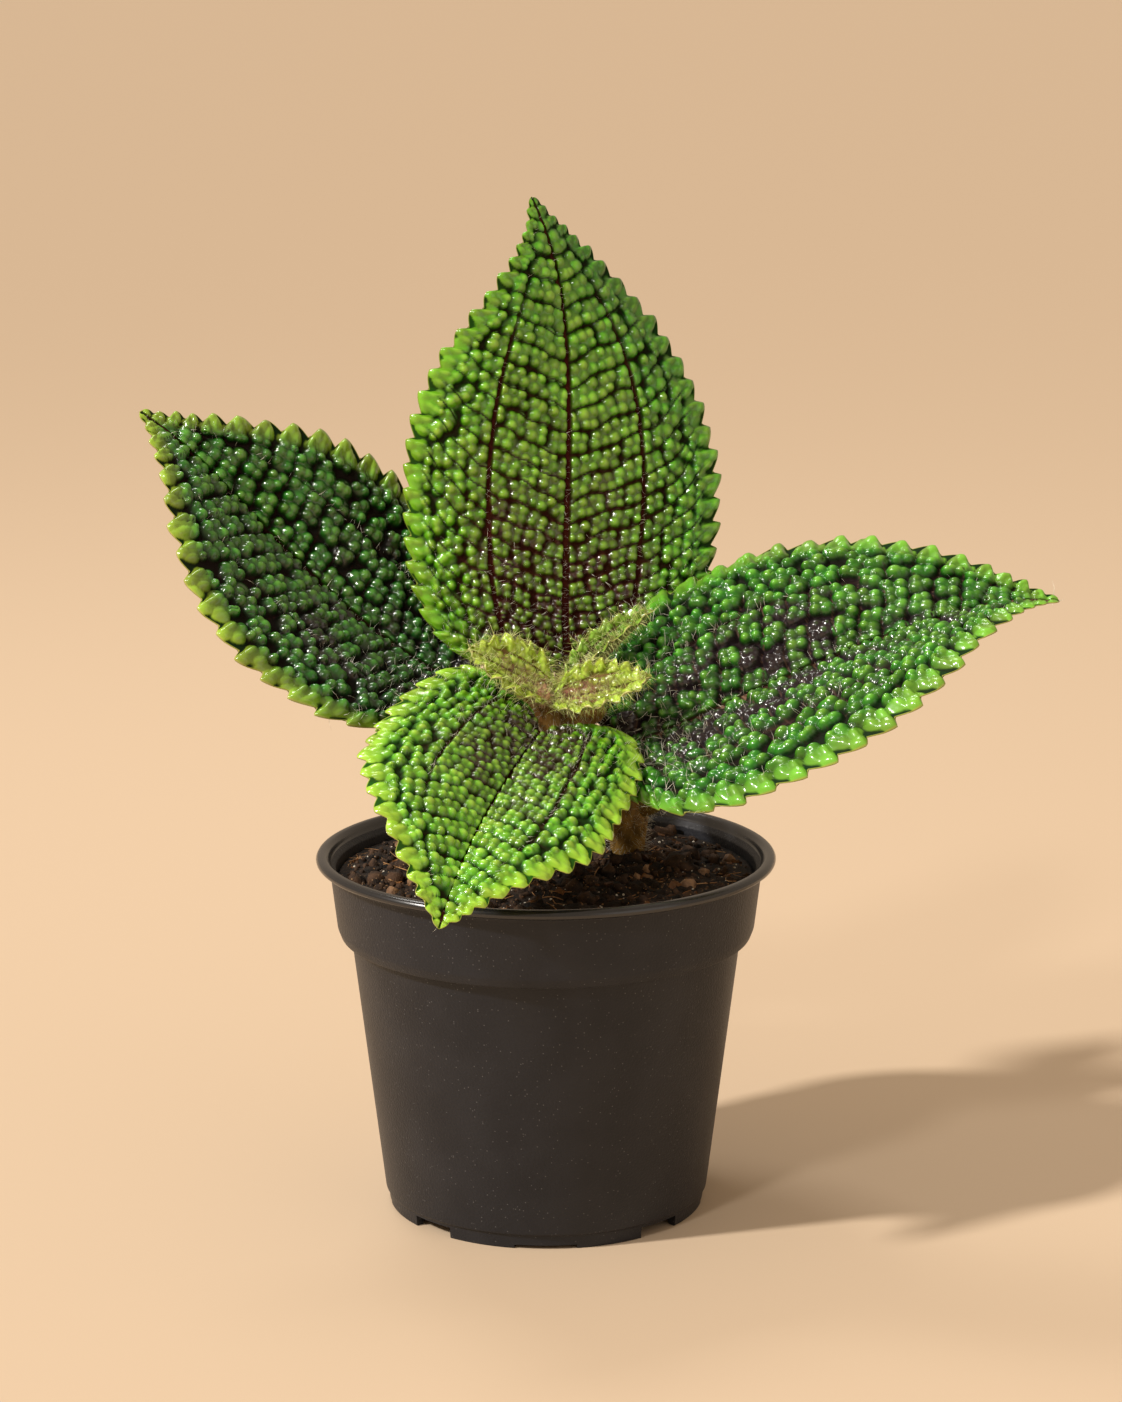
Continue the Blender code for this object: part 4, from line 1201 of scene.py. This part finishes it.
def nearest(places: np.ndarray, u: np.ndarray, v: np.ndarray, count: int) -> tuple[np.ndarray, np.ndarray]:
    """Look up the nearest of some places round each point of the flattened leaf.

    Args:
        places: The places to choose from.
        u: The points' distances from the midrib.
        v: The points' places along the midrib.
        count: How many to find.

    Returns:
        For each point, the distances to its nearest places and their numbers, nearest first.
    """
    tree = KDTree(len(places))
    for i, (a, b) in enumerate(places.tolist()):
        tree.insert((a, b, 0.0), i)
    tree.balance()
    rows = []
    for a, b in zip(u.tolist(), v.tolist()):
        rows.append([(far, i) for _, i, far in tree.find_n((a, b, 0.0), count)])
    found = np.array(rows)
    return found[:, :, 0], found[:, :, 1].astype(int)


def domed(far: np.ndarray, radius: np.ndarray) -> np.ndarray:
    """The height of a round pearl of the given radius, 1 at its middle and 0 beyond it."""
    return np.clip(1 - (far / radius)**2, 0, 1)**0.7


def quads(*corners: np.ndarray) -> list[list[int]]:
    """The faces of a net, from the vertex numbers of each quad's four corners in turn."""
    return np.stack(corners, -1).reshape(-1, 4).tolist()


def sheet_faces(rows: int, columns: int) -> list[list[int]]:
    """The faces of a closed sheet whose lower face has half the rows and columns of its upper one.

    Args:
        rows: The upper face's rows, an even number, with one tip vertex past the last.
        columns: The upper face's columns, an even number.

    Returns:
        The vertex numbers of each face.
    """
    upper = np.arange(rows * (columns + 1)).reshape(rows, columns + 1)
    tip = upper.size
    lower = tip + 1 + np.arange(rows // 2 * (columns // 2 + 1)).reshape(rows // 2, columns // 2 + 1)
    faces = quads(upper[:-1, :-1], upper[:-1, 1:], upper[1:, 1:], upper[1:, :-1])
    faces += quads(lower[:-1, :-1], lower[1:, :-1], lower[1:, 1:], lower[:-1, 1:])
    faces += [[a, b, tip] for a, b in zip(upper[-1, :-1].tolist(), upper[-1, 1:].tolist())]
    faces += [[a, tip, b] for a, b in zip(lower[-1, :-1].tolist(), lower[-1, 1:].tolist())]
    runs = (
        (upper[:, -1].tolist() + [tip], lower[:, -1].tolist() + [tip], False),
        (upper[:, 0].tolist() + [tip], lower[:, 0].tolist() + [tip], True),
        (upper[0].tolist(), lower[0].tolist(), False),
    )
    for fine, coarse, turned in runs:
        for k in range(len(coarse) - 1):
            a, b, c = fine[2 * k], fine[2 * k + 1], fine[2 * k + 2]
            d, e = coarse[k], coarse[k + 1]
            for face in ([b, a, d], [b, d, e], [c, b, e]):
                if len(set(face)) == 3:
                    faces.append(face[::-1] if turned else face)
    return faces


@dataclass
class Pot:
    """The round nursery pot: a tapered wall, a straight collar, a rolled lip, and a foot with notches."""

    steps: int = 168
    notch: tuple[float, float] = (9.5, 2.2)
    recess: tuple[float, float] = (12.0, 0.8)
    drain: tuple[float, float, float] = (6.0, 21.0, 28.0)
    skirt: tuple[float, float] = (28.1, 32.7)
    floor: tuple[float, float] = (1.0, 5.2)
    rounding: float = 0.3
    lip_foot: float = 68.9
    lip_inside: float = 41.4
    finish: SkinFinish = SkinFinish(
        (37, 38, 43), (30, 31, 36), (92, 92, 94), patch=90.0, grain=2200.0, speck_scale=2600.0,
        speck_share=0.05, smoothest=0.36, roughest=0.52, bump=0.12)
    # The rolled lip: the wall's plastic, glossier and painted darker, which is painted shade for the roll and
    # the groove under it.
    lip_shaded_finish: SkinFinish = SkinFinish(
        (22, 23, 27), (18, 19, 22), (70, 68, 66), patch=90.0, grain=4200.0, speck_scale=2200.0,
        speck_share=0.01, smoothest=0.2, roughest=0.26, bump=0.005, shine=0.8)

    def profile(self) -> list[tuple[float, float]]:
        """The wall's section as radius and height, from the middle of the floor's top to its underside."""
        corners = [
            (0.0, 1.2), (12.5, 1.2), (14.5, 3.7), (30.9, 3.7), (37.2, 55.1), (39.9, 57.4), (41.2, 68.2),
            (42.3, 69.4), (42.6, 70.4), (43.3, 71.0), (44.2, 71.0), (44.8, 70.7), (45.1, 70.1), (45.0, 69.6),
            (44.5, 69.2), (43.4, 69.1), (42.6, 68.7), (42.4, 68.2), (41.0, 56.6),
            (40.3, 54.8), (38.3, 54.3), (32.0, 3.1), (31.4, 2.7), (31.2, 0.0), (29.6, 0.0), (29.2, 2.5),
            (15.5, 2.5), (13.5, 0.0), (0.0, 0.0),
        ]
        rounded = [corners[0]]
        for before, corner, after in zip(corners, corners[1:], corners[2:]):
            rounded += fillet(before, corner, after, self.rounding)
        return rounded + [corners[-1]]

    def cutters(self) -> bpy.types.Mesh:
        """The boxes that cut the foot's notches and recesses and the floor's drain holes."""
        bm = bmesh.new()
        for quarter in range(4):
            facing = math.radians(90.0 * quarter)
            corner = facing + math.radians(45.0)
            add_box(bm, self.skirt, self.notch[0], (-1.5, self.notch[1]), corner)
            add_box(bm, self.skirt, self.recess[0], (-1.5, self.recess[1]), facing)
            add_box(bm, self.drain[1:], self.drain[0], self.floor, corner)
        mesh = bpy.data.meshes.new("pot_cutters")
        bm.to_mesh(mesh)
        bm.free()
        return mesh

    def build(self, shop: Workshop) -> None:
        """Turn the section round the pot's axis and cut the foot."""
        section = self.profile()
        bm = bmesh.new()
        line = [bm.verts.new(Vector((r, 0.0, z)) * MM) for r, z in section]
        edges = [bm.edges.new(pair) for pair in zip(line, line[1:])]
        bmesh.ops.spin(bm, geom=line + edges, cent=(0, 0, 0), axis=(0, 0, 1), dvec=(0, 0, 0),
                       angle=2 * math.pi, steps=self.steps)
        bmesh.ops.remove_doubles(bm, verts=bm.verts, dist=WELD)
        bmesh.ops.recalc_face_normals(bm, faces=bm.faces)
        mesh = bpy.data.meshes.new("pot_shell")
        bm.to_mesh(mesh)
        bm.free()
        shell = show("pot_shell", mesh, shop.skin("pot_plastic", self.finish))
        cutter = show("pot_cutters", self.cutters())
        cut = shell.modifiers.new("foot", "BOOLEAN")
        cut.object, cut.operation, cut.solver = cutter, "DIFFERENCE", "EXACT"
        bpy.context.view_layer.update()
        graph = bpy.context.evaluated_depsgraph_get()
        final = bpy.data.meshes.new_from_object(shell.evaluated_get(graph), depsgraph=graph)
        shell.modifiers.clear()
        shell.data = final
        bpy.data.objects.remove(cutter, do_unlink=True)
        final.shade_smooth()
        final.set_sharp_from_angle(angle=math.radians(38.0))
        # The rolled lip and the groove under it take the darker copy of the plastic: painted shade.
        final.materials.append(shop.skin("pot_lip_shaded_plastic", self.lip_shaded_finish))
        for face in final.polygons:
            radius, height = face.center.xy.length, face.center.z
            face.material_index = int(height > self.lip_foot * MM and radius > self.lip_inside * MM)
        fasten(shell, "pot", "pot")


def fillet(before: tuple[float, float], corner: tuple[float, float], after: tuple[float, float],
           radius: float) -> list[tuple[float, float]]:
    """Round one corner of a section.

    Args:
        before: The corner before it.
        corner: The corner to round.
        after: The corner after it.
        radius: How far from the corner the rounding starts, at most.

    Returns:
        The points that take the corner's place.
    """
    p0, p1, p2 = (Vector(p) for p in (before, corner, after))
    reach = min(radius, (p0 - p1).length * 0.4, (p2 - p1).length * 0.4)
    start, end = p1 + (p0 - p1).normalized() * reach, p1 + (p2 - p1).normalized() * reach
    points = [start * (1 - t)**2 + p1 * 2 * t * (1 - t) + end * t * t for t in (0.0, 0.33, 0.67, 1.0)]
    return [(p.x, p.y) for p in points]


def add_box(bm: bmesh.types.BMesh, reach: tuple[float, float], width: float, heights: tuple[float, float],
            angle: float) -> None:
    """Add a box that reaches from one radius to another, turned about the pot's axis."""
    made = bmesh.ops.create_cube(bm, size=1.0)["verts"]
    size = Vector((reach[1] - reach[0], width, heights[1] - heights[0]))
    centre = Vector((sum(reach) / 2, 0.0, sum(heights) / 2))
    bmesh.ops.scale(bm, vec=size * MM, verts=made)
    bmesh.ops.translate(bm, vec=centre * MM, verts=made)
    bmesh.ops.rotate(bm, cent=(0, 0, 0), matrix=Matrix.Rotation(angle, 3, "Z"), verts=made)


@dataclass
class Soil:
    """The potting soil: a crumbly bed with bark, nuggets, pale specks and fibres on it."""

    radius: float = 40.6
    top: float = 66.6
    mound: float = 1.8
    rings: int = 84
    spokes: int = 260
    side: tuple[tuple[float, float], ...] = ((39.6, 58.2), (36.6, 54.7), (30.3, 4.0))
    lumps: tuple[tuple[float, float], ...] = ((1.9, 7.0), (1.1, 2.6))
    grains: tuple[tuple[float, float], ...] = ((0.75, 1.7), (0.9, 3.4))
    bed: SkinFinish = SkinFinish(
        (42, 28, 17), (6, 4, 3), (140, 106, 72), patch=620.0, grain=2600.0, speck_scale=1300.0,
        speck_share=0.10, smoothest=0.7, roughest=0.95, bump=0.35)
    crumb: SkinFinish = SkinFinish(
        (78, 55, 37), (9, 6, 5), (176, 140, 100), patch=330.0, grain=2600.0, speck_share=0.08,
        smoothest=0.65, roughest=0.95, bump=0.25)
    bark: SkinFinish = SkinFinish(
        (120, 78, 40), (58, 34, 16), (170, 120, 74), patch=300.0, smoothest=0.5, roughest=0.8,
        stretch=(1.0, 0.3, 1.0), bump=0.2)
    nugget: SkinFinish = SkinFinish(
        (156, 120, 88), (92, 66, 46), (196, 166, 130), patch=520.0, smoothest=0.55, roughest=0.8, bump=0.15)
    perlite: SkinFinish = SkinFinish(
        (232, 226, 212), (196, 186, 168), (250, 248, 240), smoothest=0.6, roughest=0.85, bump=0.1)
    fibre: SkinFinish = SkinFinish(
        (186, 140, 92), (120, 82, 50), (206, 170, 124), smoothest=0.5, roughest=0.7, bump=0.0)

    def level(self, x: float, y: float) -> float:
        """The height of the bed at a point, with its lumps and grains, each a height and a pitch."""
        share = min(1.0, math.hypot(x, y) / self.radius)
        spot = Vector((x, y, 0.0))
        lumps = sum(height * noise.noise(spot / pitch) for height, pitch in self.lumps)
        grains = sum(height * (0.6 - noise.voronoi(spot / pitch)[0][0]) for height, pitch in self.grains)
        return self.top + self.mound * (1 - share**2) + (lumps + grains) * (1 - share**6)

    def surface(self) -> bpy.types.Mesh:
        """The bed as a closed body: rings on top, then the side and the underside."""
        turn = np.linspace(0, 2 * math.pi, self.spokes, endpoint=False)
        points = [(0.0, 0.0, self.level(0.0, 0.0))]
        for ring in range(1, self.rings + 1):
            r = self.radius * ring / self.rings
            points += [(r * math.cos(a), r * math.sin(a), self.level(r * math.cos(a), r * math.sin(a)))
                       for a in turn]
        for r, z in self.side:
            points += [(r * math.cos(a), r * math.sin(a), z) for a in turn]
        points.append((0.0, 0.0, self.side[-1][1]))
        count, loops = self.spokes, self.rings + len(self.side)
        ring_of = 1 + np.arange(loops * count).reshape(loops, count)
        nexts = np.roll(ring_of, -1, axis=1)
        faces = [[0, a, b] for a, b in zip(ring_of[0].tolist(), nexts[0].tolist())]
        faces += quads(ring_of[:-1], ring_of[1:], nexts[1:], nexts[:-1])
        end = len(points) - 1
        faces += [[a, end, b] for a, b in zip(ring_of[-1].tolist(), nexts[-1].tolist())]
        points = np.array(points)
        growth = (np.hypot(points[:, 0], points[:, 1]) < self.radius * 0.975) & (points[:, 2] > 60.0)
        return make_mesh("soil_bed", points, faces, {"growth": growth.astype(float)})

    def build(self, shop: Workshop) -> None:
        """Make the bed and scatter what lies on it."""
        bed = show("soil_bed", self.surface(), shop.skin("soil_earth", self.bed))
        litter = (
            ("soil_crumbs", self.crumb, Planting(Scatter.CRUMB, 20.0, 0.8, 0.0, 0.25, 3.1, 1.5)),
            ("soil_clods", self.crumb, Planting(Scatter.CRUMB, 2.0, 2.3, 0.0, 0.4, 3.1, 3.8)),
            ("soil_bark", self.bark, Planting(Scatter.CHIP, 3.2, 2.6, 0.7, 0.3, 0.6, 0.9)),
            ("soil_nuggets", self.nugget, Planting(Scatter.CRUMB, 0.6, 1.9, 0.0, 0.4, 3.1, 3.2)),
            ("soil_perlite", self.perlite, Planting(Scatter.CRUMB, 4.5, 0.3, 0.0, 0.4, 3.1, 0.2)),
            ("soil_fibres", self.fibre, Planting(Scatter.FIBRE, 4.0, 6.5, 0.13, 0.35, 0.5)),
        )
        pieces = []
        for seed, (name, finish, planting) in enumerate(litter, 31):
            skin = shop.skin(name + "_skin", finish)
            pieces.append(shop.sower.sow(name, bed.data.copy(), planting, skin, seed))
        fasten(bed, "soil", "soil")
        for piece in pieces:
            fasten(piece, "soil")


@dataclass
class Stem:
    """The hairy brown stem, swollen where the leaves leave it."""

    path: tuple[tuple[float, float, float, float], ...] = (
        (15.5, 13.0, 44.0, 2.8), (15.8, 12.5, 58.0, 3.3), (16.2, 11.0, 68.5, 3.5), (16.0, 8.5, 76.0, 3.6),
        (12.5, 6.0, 83.0, 3.5), (6.5, 3.5, 89.0, 3.4), (2.2, 1.0, 94.5, 3.2), (0.7, -0.6, 99.0, 2.8),
        (0.0, -1.5, 102.0, 2.1),
    )
    nodes: tuple[float, ...] = (0.36, 0.60, 0.82)
    swelling: float = 0.55

    def route(self) -> np.ndarray:
        """The stem's middle line, with its radius swollen at the nodes."""
        route = through(list(self.path), 90)
        share = np.linspace(0, 1, len(route))
        for node in self.nodes:
            route[:, 3] += self.swelling * np.exp(-((share - node) / 0.025)**2)
        return route

    def build(self, shop: Workshop) -> None:
        """Make the stem and its hairs."""
        stem = shop.tubes.lay("stem_skin", self.route(), shop.skin("stem_bark", STEM_SKIN), 26, 0.7)
        pale = shop.skin("pale_hair", PALE_HAIR)
        fur = shop.sower.sow("stem_hairs", stem.data.copy(), STEM_FUR, pale, 71)
        fasten(stem, "stem", "stem")
        fasten(fur, "stem")


@dataclass
class ShootTip:
    """The bud at the top of the stem: five short pointed scales under a coat of hairs."""

    foot: Point = (-0.8, -3.4, 102.0)
    scales: tuple[tuple[Point, float], ...] = (
        ((-1.8, -1.2, 2.0), 0.8), ((1.4, -1.2, 1.8), 0.8), ((-0.5, -1.8, 2.6), 0.8), ((-0.8, 0.6, 3.4), 0.9),
        ((0.6, 0.4, 3.2), 0.9))

    def build(self, shop: Workshop) -> None:
        """Make the scales and their hairs."""
        bud_skin = shop.skin("bud_skin", BUD_SKIN)
        foot = np.array(self.foot)
        holders = []
        for number, (reach, radius) in enumerate(self.scales):
            way = np.array(reach)
            bow = way * (0.25, 0.25, 0.0)
            path = [(*(foot - 0.2 * way), radius * 0.9), (*(foot + 0.3 * way + bow), radius * 1.05),
                    (*(foot + 0.65 * way + bow), radius * 0.62), (*(foot + way), radius * 0.08)]
            holders.append(shop.tubes.lay(f"bud_scale_{number + 1}", through(path, 18), bud_skin, 14, 0.2))
        joined = bmesh.new()
        for holder in holders:
            joined.from_mesh(holder.data)
            bpy.data.objects.remove(holder, do_unlink=True)
        mesh = bpy.data.meshes.new("shoot_bud")
        joined.to_mesh(mesh)
        joined.free()
        bud = show("shoot_bud", mesh, bud_skin)
        bud.data.shade_smooth()
        coat = shop.skin("bud_hair", BUD_HAIR)
        fur = shop.sower.sow("shoot_bud_hairs", bud.data.copy(), BUD_FUR, coat, 81)
        fasten(bud, "growing_tip", "growing_tip")
        fasten(fur, "growing_tip")


# In each finish the crown is partly a painted highlight, and the flank and valley are painted shade in the
# creases.
LIME = BladeFinish((154, 206, 58), (90, 148, 12), (34, 74, 4), (16, 40, 3), (38, 8, 3), (66, 15, 7),
                   (52, 18, 6), (128, 184, 36), edge=(132, 150, 50))
DARK_GREEN = BladeFinish((96, 160, 52), (34, 94, 14), (11, 38, 4), (8, 18, 3), (22, 5, 3), (54, 15, 9),
                         (14, 13, 8), (158, 190, 54), edge=(180, 184, 84))
PURPLE_GREEN = BladeFinish((118, 186, 54), (44, 110, 13), (10, 42, 4), (9, 24, 4), (24, 7, 5),
                           (124, 92, 74), (33, 23, 28), (126, 184, 52), edge=(168, 172, 78), gloss=0.75)
BRIGHT_LIME = BladeFinish((166, 216, 70), (96, 162, 18), (34, 84, 5), (22, 48, 4), (38, 11, 4),
                          (66, 20, 10), (46, 36, 11), (168, 212, 56), edge=(176, 190, 80))
YOUNG_LIME = BladeFinish((196, 216, 92), (152, 184, 56), (112, 136, 36), (104, 112, 38), (110, 82, 48),
                         (124, 92, 60), (150, 110, 84), (184, 210, 72), edge=(226, 222, 150))
YOUNG_PLUM = BladeFinish((150, 190, 78), (110, 150, 48), (84, 96, 38), (90, 78, 44), (78, 48, 46),
                         (96, 60, 56), (102, 66, 60), (142, 184, 60), edge=(190, 192, 110))

KNOBBED_RELIEF = Relief(height=2.3, pitch_base=2.1, across=2.4, across_outer=2.8, huddle=0.8, missing=0.015,
                        jitter=0.25, midrib_room=0.75, lateral_room=0.2, lateral_tone=0.15, lateral_end=0.7,
                        rung_room=0.05, ridge=1.2)
BEADED_RELIEF = Relief(height=1.6, pitch_base=1.6, pitch_tip=2.9, across=1.75, midrib_room=0.5,
                       lateral_room=0.2, lateral_tone=0.5, lateral_end=0.6, rung_room=0.06)
FINE_RELIEF = Relief(height=0.75, pitch_base=1.3, pitch_tip=1.6, across=1.6, across_outer=1.7, huddle=0.95,
                     rise=0.7, sweep=0.4, midrib_room=0.3, lateral_room=0.1, rung_room=0.05, ridge=0.15)


def big_leaves() -> list[Blade]:
    """The four grown leaves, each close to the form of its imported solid."""
    return [
        Blade("leaf_back", "leaf_back", ((4, 17, 104), (2, 23, 134.5), (9, 34, 168.5), (-3, 40, 195.5)),
              (0.15, -0.96, 0.25), (0.63, -0.74, 0.24), 31.8, 27,
              Petiole(((6.5, 3.5, 89), (7.0, 11.0, 91.5), (4.4, 16.0, 97.0)), 2.6), LIME, (320, 214), 11,
              relief=Relief(pitch_base=1.55, pitch_tip=3.1, missing=0.0),
              left_share=1.03, right_share=1.01, fold_left=0.05, fold_right=0.05, curl_left=-0.33,
              curl_right=-0.09, lobe=0.45, tooth=1.9, dusk_base=1.35, dusk_reach=0.62, maroon_reach=0.8,
              maroon_tip=0.3, painted_shade_tip=0.45, painted_shade_right=0.5, margin_and_light_right=0.4, patchy=0.2),
        Blade("leaf_left", "leaf_left",
              ((-15, 13, 99.5), (-42.5, 18.5, 110.5), (-60, 18.5, 139), (-80, 20, 155)),
              (0.49, -0.57, 0.65), (0.40, -0.72, 0.56), 31.0, 20,
              Petiole(((12.0, 6.0, 83.5), (4.0, 10.5, 86.5), (-6.0, 13.0, 93.0))), DARK_GREEN, (300, 200), 12,
              left_share=1.05, right_share=0.98, fold_left=0.38, fold_right=0.27, curl_left=-0.34,
              curl_right=-0.09, lobe=0.24, relief=KNOBBED_RELIEF, tooth=2.4, dusk_base=1.2, dusk_tip=0.2,
              dusk_reach=0.7, maroon_reach=0.85, maroon_tip=0.9, painted_shade_base=0.6, margin_reach=4.2,
              margin_and_light_right=0.85, patchy=0.5, down=0.25, hair_length=2.6, hair_radius=0.06),
        Blade("leaf_right", "leaf_right", ((18.5, 0, 92), (44.5, -6, 104), (73, 4, 119), (100, 4, 120)),
              (-0.20, -0.72, 0.67), (-0.28, -0.40, 0.87), 32.2, 20,
              Petiole(((16.0, 8.5, 76.5), (22.5, 6.0, 80.0), (22.5, 2.5, 86.0)), end=0.2), PURPLE_GREEN,
              (300, 200), 13, left_share=1.05, right_share=1.02, fold_left=0.39, fold_right=0.52,
              curl_left=-0.72, curl_right=-0.32, outline=WIDE_OUTLINE, lobe=0.8, lobe_tilt=0.3, sinus=0.9,
              relief=KNOBBED_RELIEF, tooth=2.4, hair=0.7, hair_length=3.4, hair_radius=0.08, dusk_base=1.3,
              dusk_tip=0.9, dusk_reach=0.42, maroon_reach=0.7, maroon_tip=1.0, painted_shade_base=0.3,
              margin_reach=5.2, patchy=0.6),
        Blade("leaf_front", "leaf_front",
              ((-1, -7, 96), (-9, -25, 89), (-15.5, -46.5, 83.5), (-19, -62, 72.5)),
              (0.35, -0.46, 0.81), (0.42, -0.47, 0.78), 24.8, 19,
              Petiole(((6.5, 3.5, 89), (5.0, -2.0, 90.5), (1.5, -6.0, 92.5)), radius=1.7), BRIGHT_LIME,
              (240, 190), 14, outline=HEART_OUTLINE, left_share=0.94, right_share=1.08, fold_left=0.54,
              fold_right=0.28, curl_left=-0.58, curl_right=-0.66, lobe=1.08, sinus=1.1,
              relief=BEADED_RELIEF, tooth=1.8, dusk_base=1.4, maroon_reach=0.62, patchy=0.2,
              margin_reach=4.0),
    ]


def young_leaves() -> list[Blade]:
    """The three small leaves that unfold at the shoot tip."""
    common = {"outline": YOUNG_OUTLINE, "relief": FINE_RELIEF, "tooth_fade": 0.7, "hair": 3.2,
              "hair_length": 3.4, "hair_radius": 0.08, "hair_lean": 0.8, "edge_height": 0.8, "lobe": 0.3,
              "dusk_reach": 0.4, "dusk_base": 1.1, "dusk_tip": 0.3, "fleece": 0.9, "notched": 0.5}
    return [
        Blade("young_leaf_left", "young_leaf",
              ((1.2, -2.0, 102.8), (-5, -3, 106.0), (-10, -4.5, 109.4), (-15, -5.5, 112.4)),
              (0.35, -0.80, 0.50), (0.35, -0.70, 0.60), 7.0, 10,
              Petiole(((1.6, 0.5, 95.5), (-1.4, -0.6, 98.6), (-4.2, -1.2, 102.0)), 2.4, 0.55, 1.8),
              YOUNG_LIME, (96, 80), 15, left_share=0.9, fold_left=0.45, fold_right=0.3, curl_left=0.3,
              curl_right=0.2, tooth=1.4, frill=0.8, **common),
        Blade("young_leaf_right", "young_leaf",
              ((1.8, -3.2, 101.8), (7.5, -4.8, 102.8), (14, -6.5, 104.8), (20.5, -7.5, 107.5)),
              (-0.30, -0.70, 0.65), (-0.25, -0.70, 0.65), 6.4, 10,
              Petiole(((1.8, 0.8, 95.0), (5.6, 0.2, 97.0), (9.4, -1.8, 99.4)), 2.2, 0.66, 1.8),
              YOUNG_LIME, (96, 80), 16, fold_left=0.5, fold_right=0.5, curl_left=0.2, curl_right=0.2,
              tooth=1.4, frill=0.7, **common),
        Blade("young_leaf_folded", "young_leaf",
              ((4.0, 3.5, 101), (9, 6.5, 107), (15.5, 8, 113), (21, 8, 117.5)),
              (-0.55, -0.65, 0.50), (-0.50, -0.70, 0.50), 5.0, 10,
              Petiole(((1.2, 0, 97.5), (2.4, 2.0, 98.5), (3.8, 3.5, 100.5)), 1.8, 0.3, 1.4),
              YOUNG_PLUM, (96, 64), 17, fold_left=0.7, fold_right=0.9, curl_left=0.3, curl_right=0.3,
              tooth=1.1, frill=0.4, **{**common, "lobe": 0.0}),
    ]


@dataclass(frozen=True)
class SoftLight:
    """A square soft light: where it hangs and its side in metres, its watts and its colour."""

    name: str
    place: Point
    size: float
    power: float
    colour: Point


@dataclass
class Studio:
    """The pale floor, the soft lights and the camera at the photograph's viewing angle."""

    floor_radius: float = 30.0
    floor: Paint = (208, 185, 158)
    sky: Paint = (238, 214, 186)
    sky_strength: float = 0.55
    lights: tuple[SoftLight, ...] = (
        SoftLight("fill_light", (0.80, -0.75, 0.40), 0.8, 1.0, (1.0, 0.94, 0.88)),
        SoftLight("front_light", (-0.42, -0.72, 0.80), 0.11, 2.4, (1.0, 0.98, 0.95)),
        SoftLight("top_light", (-0.25, 0.40, 0.85), 0.25, 2.0, (1.0, 0.97, 0.92)),
    )
    look_at: Point = (2.95, 0.0, 101.0)
    distance: float = 700.0
    elevation: float = 12.2
    focal_pixels: float = 3598.0
    image_height: float = 1402.0
    sensor: float = 36.0

    def hang(self, light: SoftLight) -> None:
        """Hang a square soft light that faces the plant."""
        data = bpy.data.lights.new(light.name, "AREA")
        data.shape, data.size, data.energy, data.color = "SQUARE", light.size, light.power, light.colour
        lamp = bpy.data.objects.new(light.name, data)
        lamp.location = light.place
        aim = Vector(self.look_at) * MM - Vector(light.place)
        lamp.rotation_euler = aim.to_track_quat("-Z", "Y").to_euler()
        lamp.visible_camera = False
        bpy.context.scene.collection.objects.link(lamp)

    def sun(self, way: Point, strength: float, spread: float, warmth: Point) -> None:
        """Let soft light fall from far off in one direction."""
        data = bpy.data.lights.new("key_light", "SUN")
        data.energy, data.angle, data.color = strength, math.radians(spread), warmth
        lamp = bpy.data.objects.new("key_light", data)
        lamp.rotation_euler = (-Vector(way)).to_track_quat("-Z", "Y").to_euler()
        bpy.context.scene.collection.objects.link(lamp)

    def build(self) -> None:
        """Set the stage."""
        bm = bmesh.new()
        bmesh.ops.create_circle(bm, cap_ends=True, segments=96, radius=self.floor_radius)
        mesh = bpy.data.meshes.new("studio_floor")
        bm.to_mesh(mesh)
        bm.free()
        paper = bpy.data.materials.new("floor_paper")
        paper.use_nodes = True
        shader = paper.node_tree.nodes["Principled BSDF"]
        shader.inputs["Base Color"].default_value = linear(self.floor)
        shader.inputs["Roughness"].default_value = 0.9
        show("studio_floor", mesh, paper)
        self.sun((-0.74, -0.30, 0.62), 3.2, 4.0, (1.0, 0.95, 0.88))
        for light in self.lights:
            self.hang(light)
        world = bpy.data.worlds.new("soft_room")
        world.use_nodes = True
        sky = world.node_tree.nodes["Background"]
        sky.inputs[0].default_value = linear(self.sky)
        sky.inputs[1].default_value = self.sky_strength
        bpy.context.scene.world = world
        bpy.context.scene.view_settings.view_transform = "Standard"
        self.camera()

    def camera(self) -> None:
        """Set the camera on the line of sight that the photograph was taken along."""
        data = bpy.data.cameras.new("camera")
        data.sensor_width, data.sensor_fit = self.sensor, "AUTO"
        data.lens = self.focal_pixels / self.image_height * self.sensor
        data.clip_start, data.clip_end = 0.01, 100.0
        camera = bpy.data.objects.new("camera", data)
        tilt = math.radians(self.elevation)
        back = Vector((0.0, -math.cos(tilt), math.sin(tilt)))
        camera.location = (Vector(self.look_at) + back * self.distance) * MM
        camera.rotation_euler = (-back).to_track_quat("-Z", "Y").to_euler()
        bpy.context.scene.collection.objects.link(camera)
        bpy.context.scene.camera = camera


def main() -> None:
    """Build the stage, then every sub-assembly in order."""
    logging.basicConfig(level=logging.INFO, format="%(name)s %(message)s", stream=sys.stdout)
    Studio().build()
    shop = Workshop()
    for assembly in (Pot(), Soil(), Stem(), ShootTip(), *big_leaves(), *young_leaves()):
        assembly.build(shop)
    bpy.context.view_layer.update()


if __name__ == "__main__":
    main()
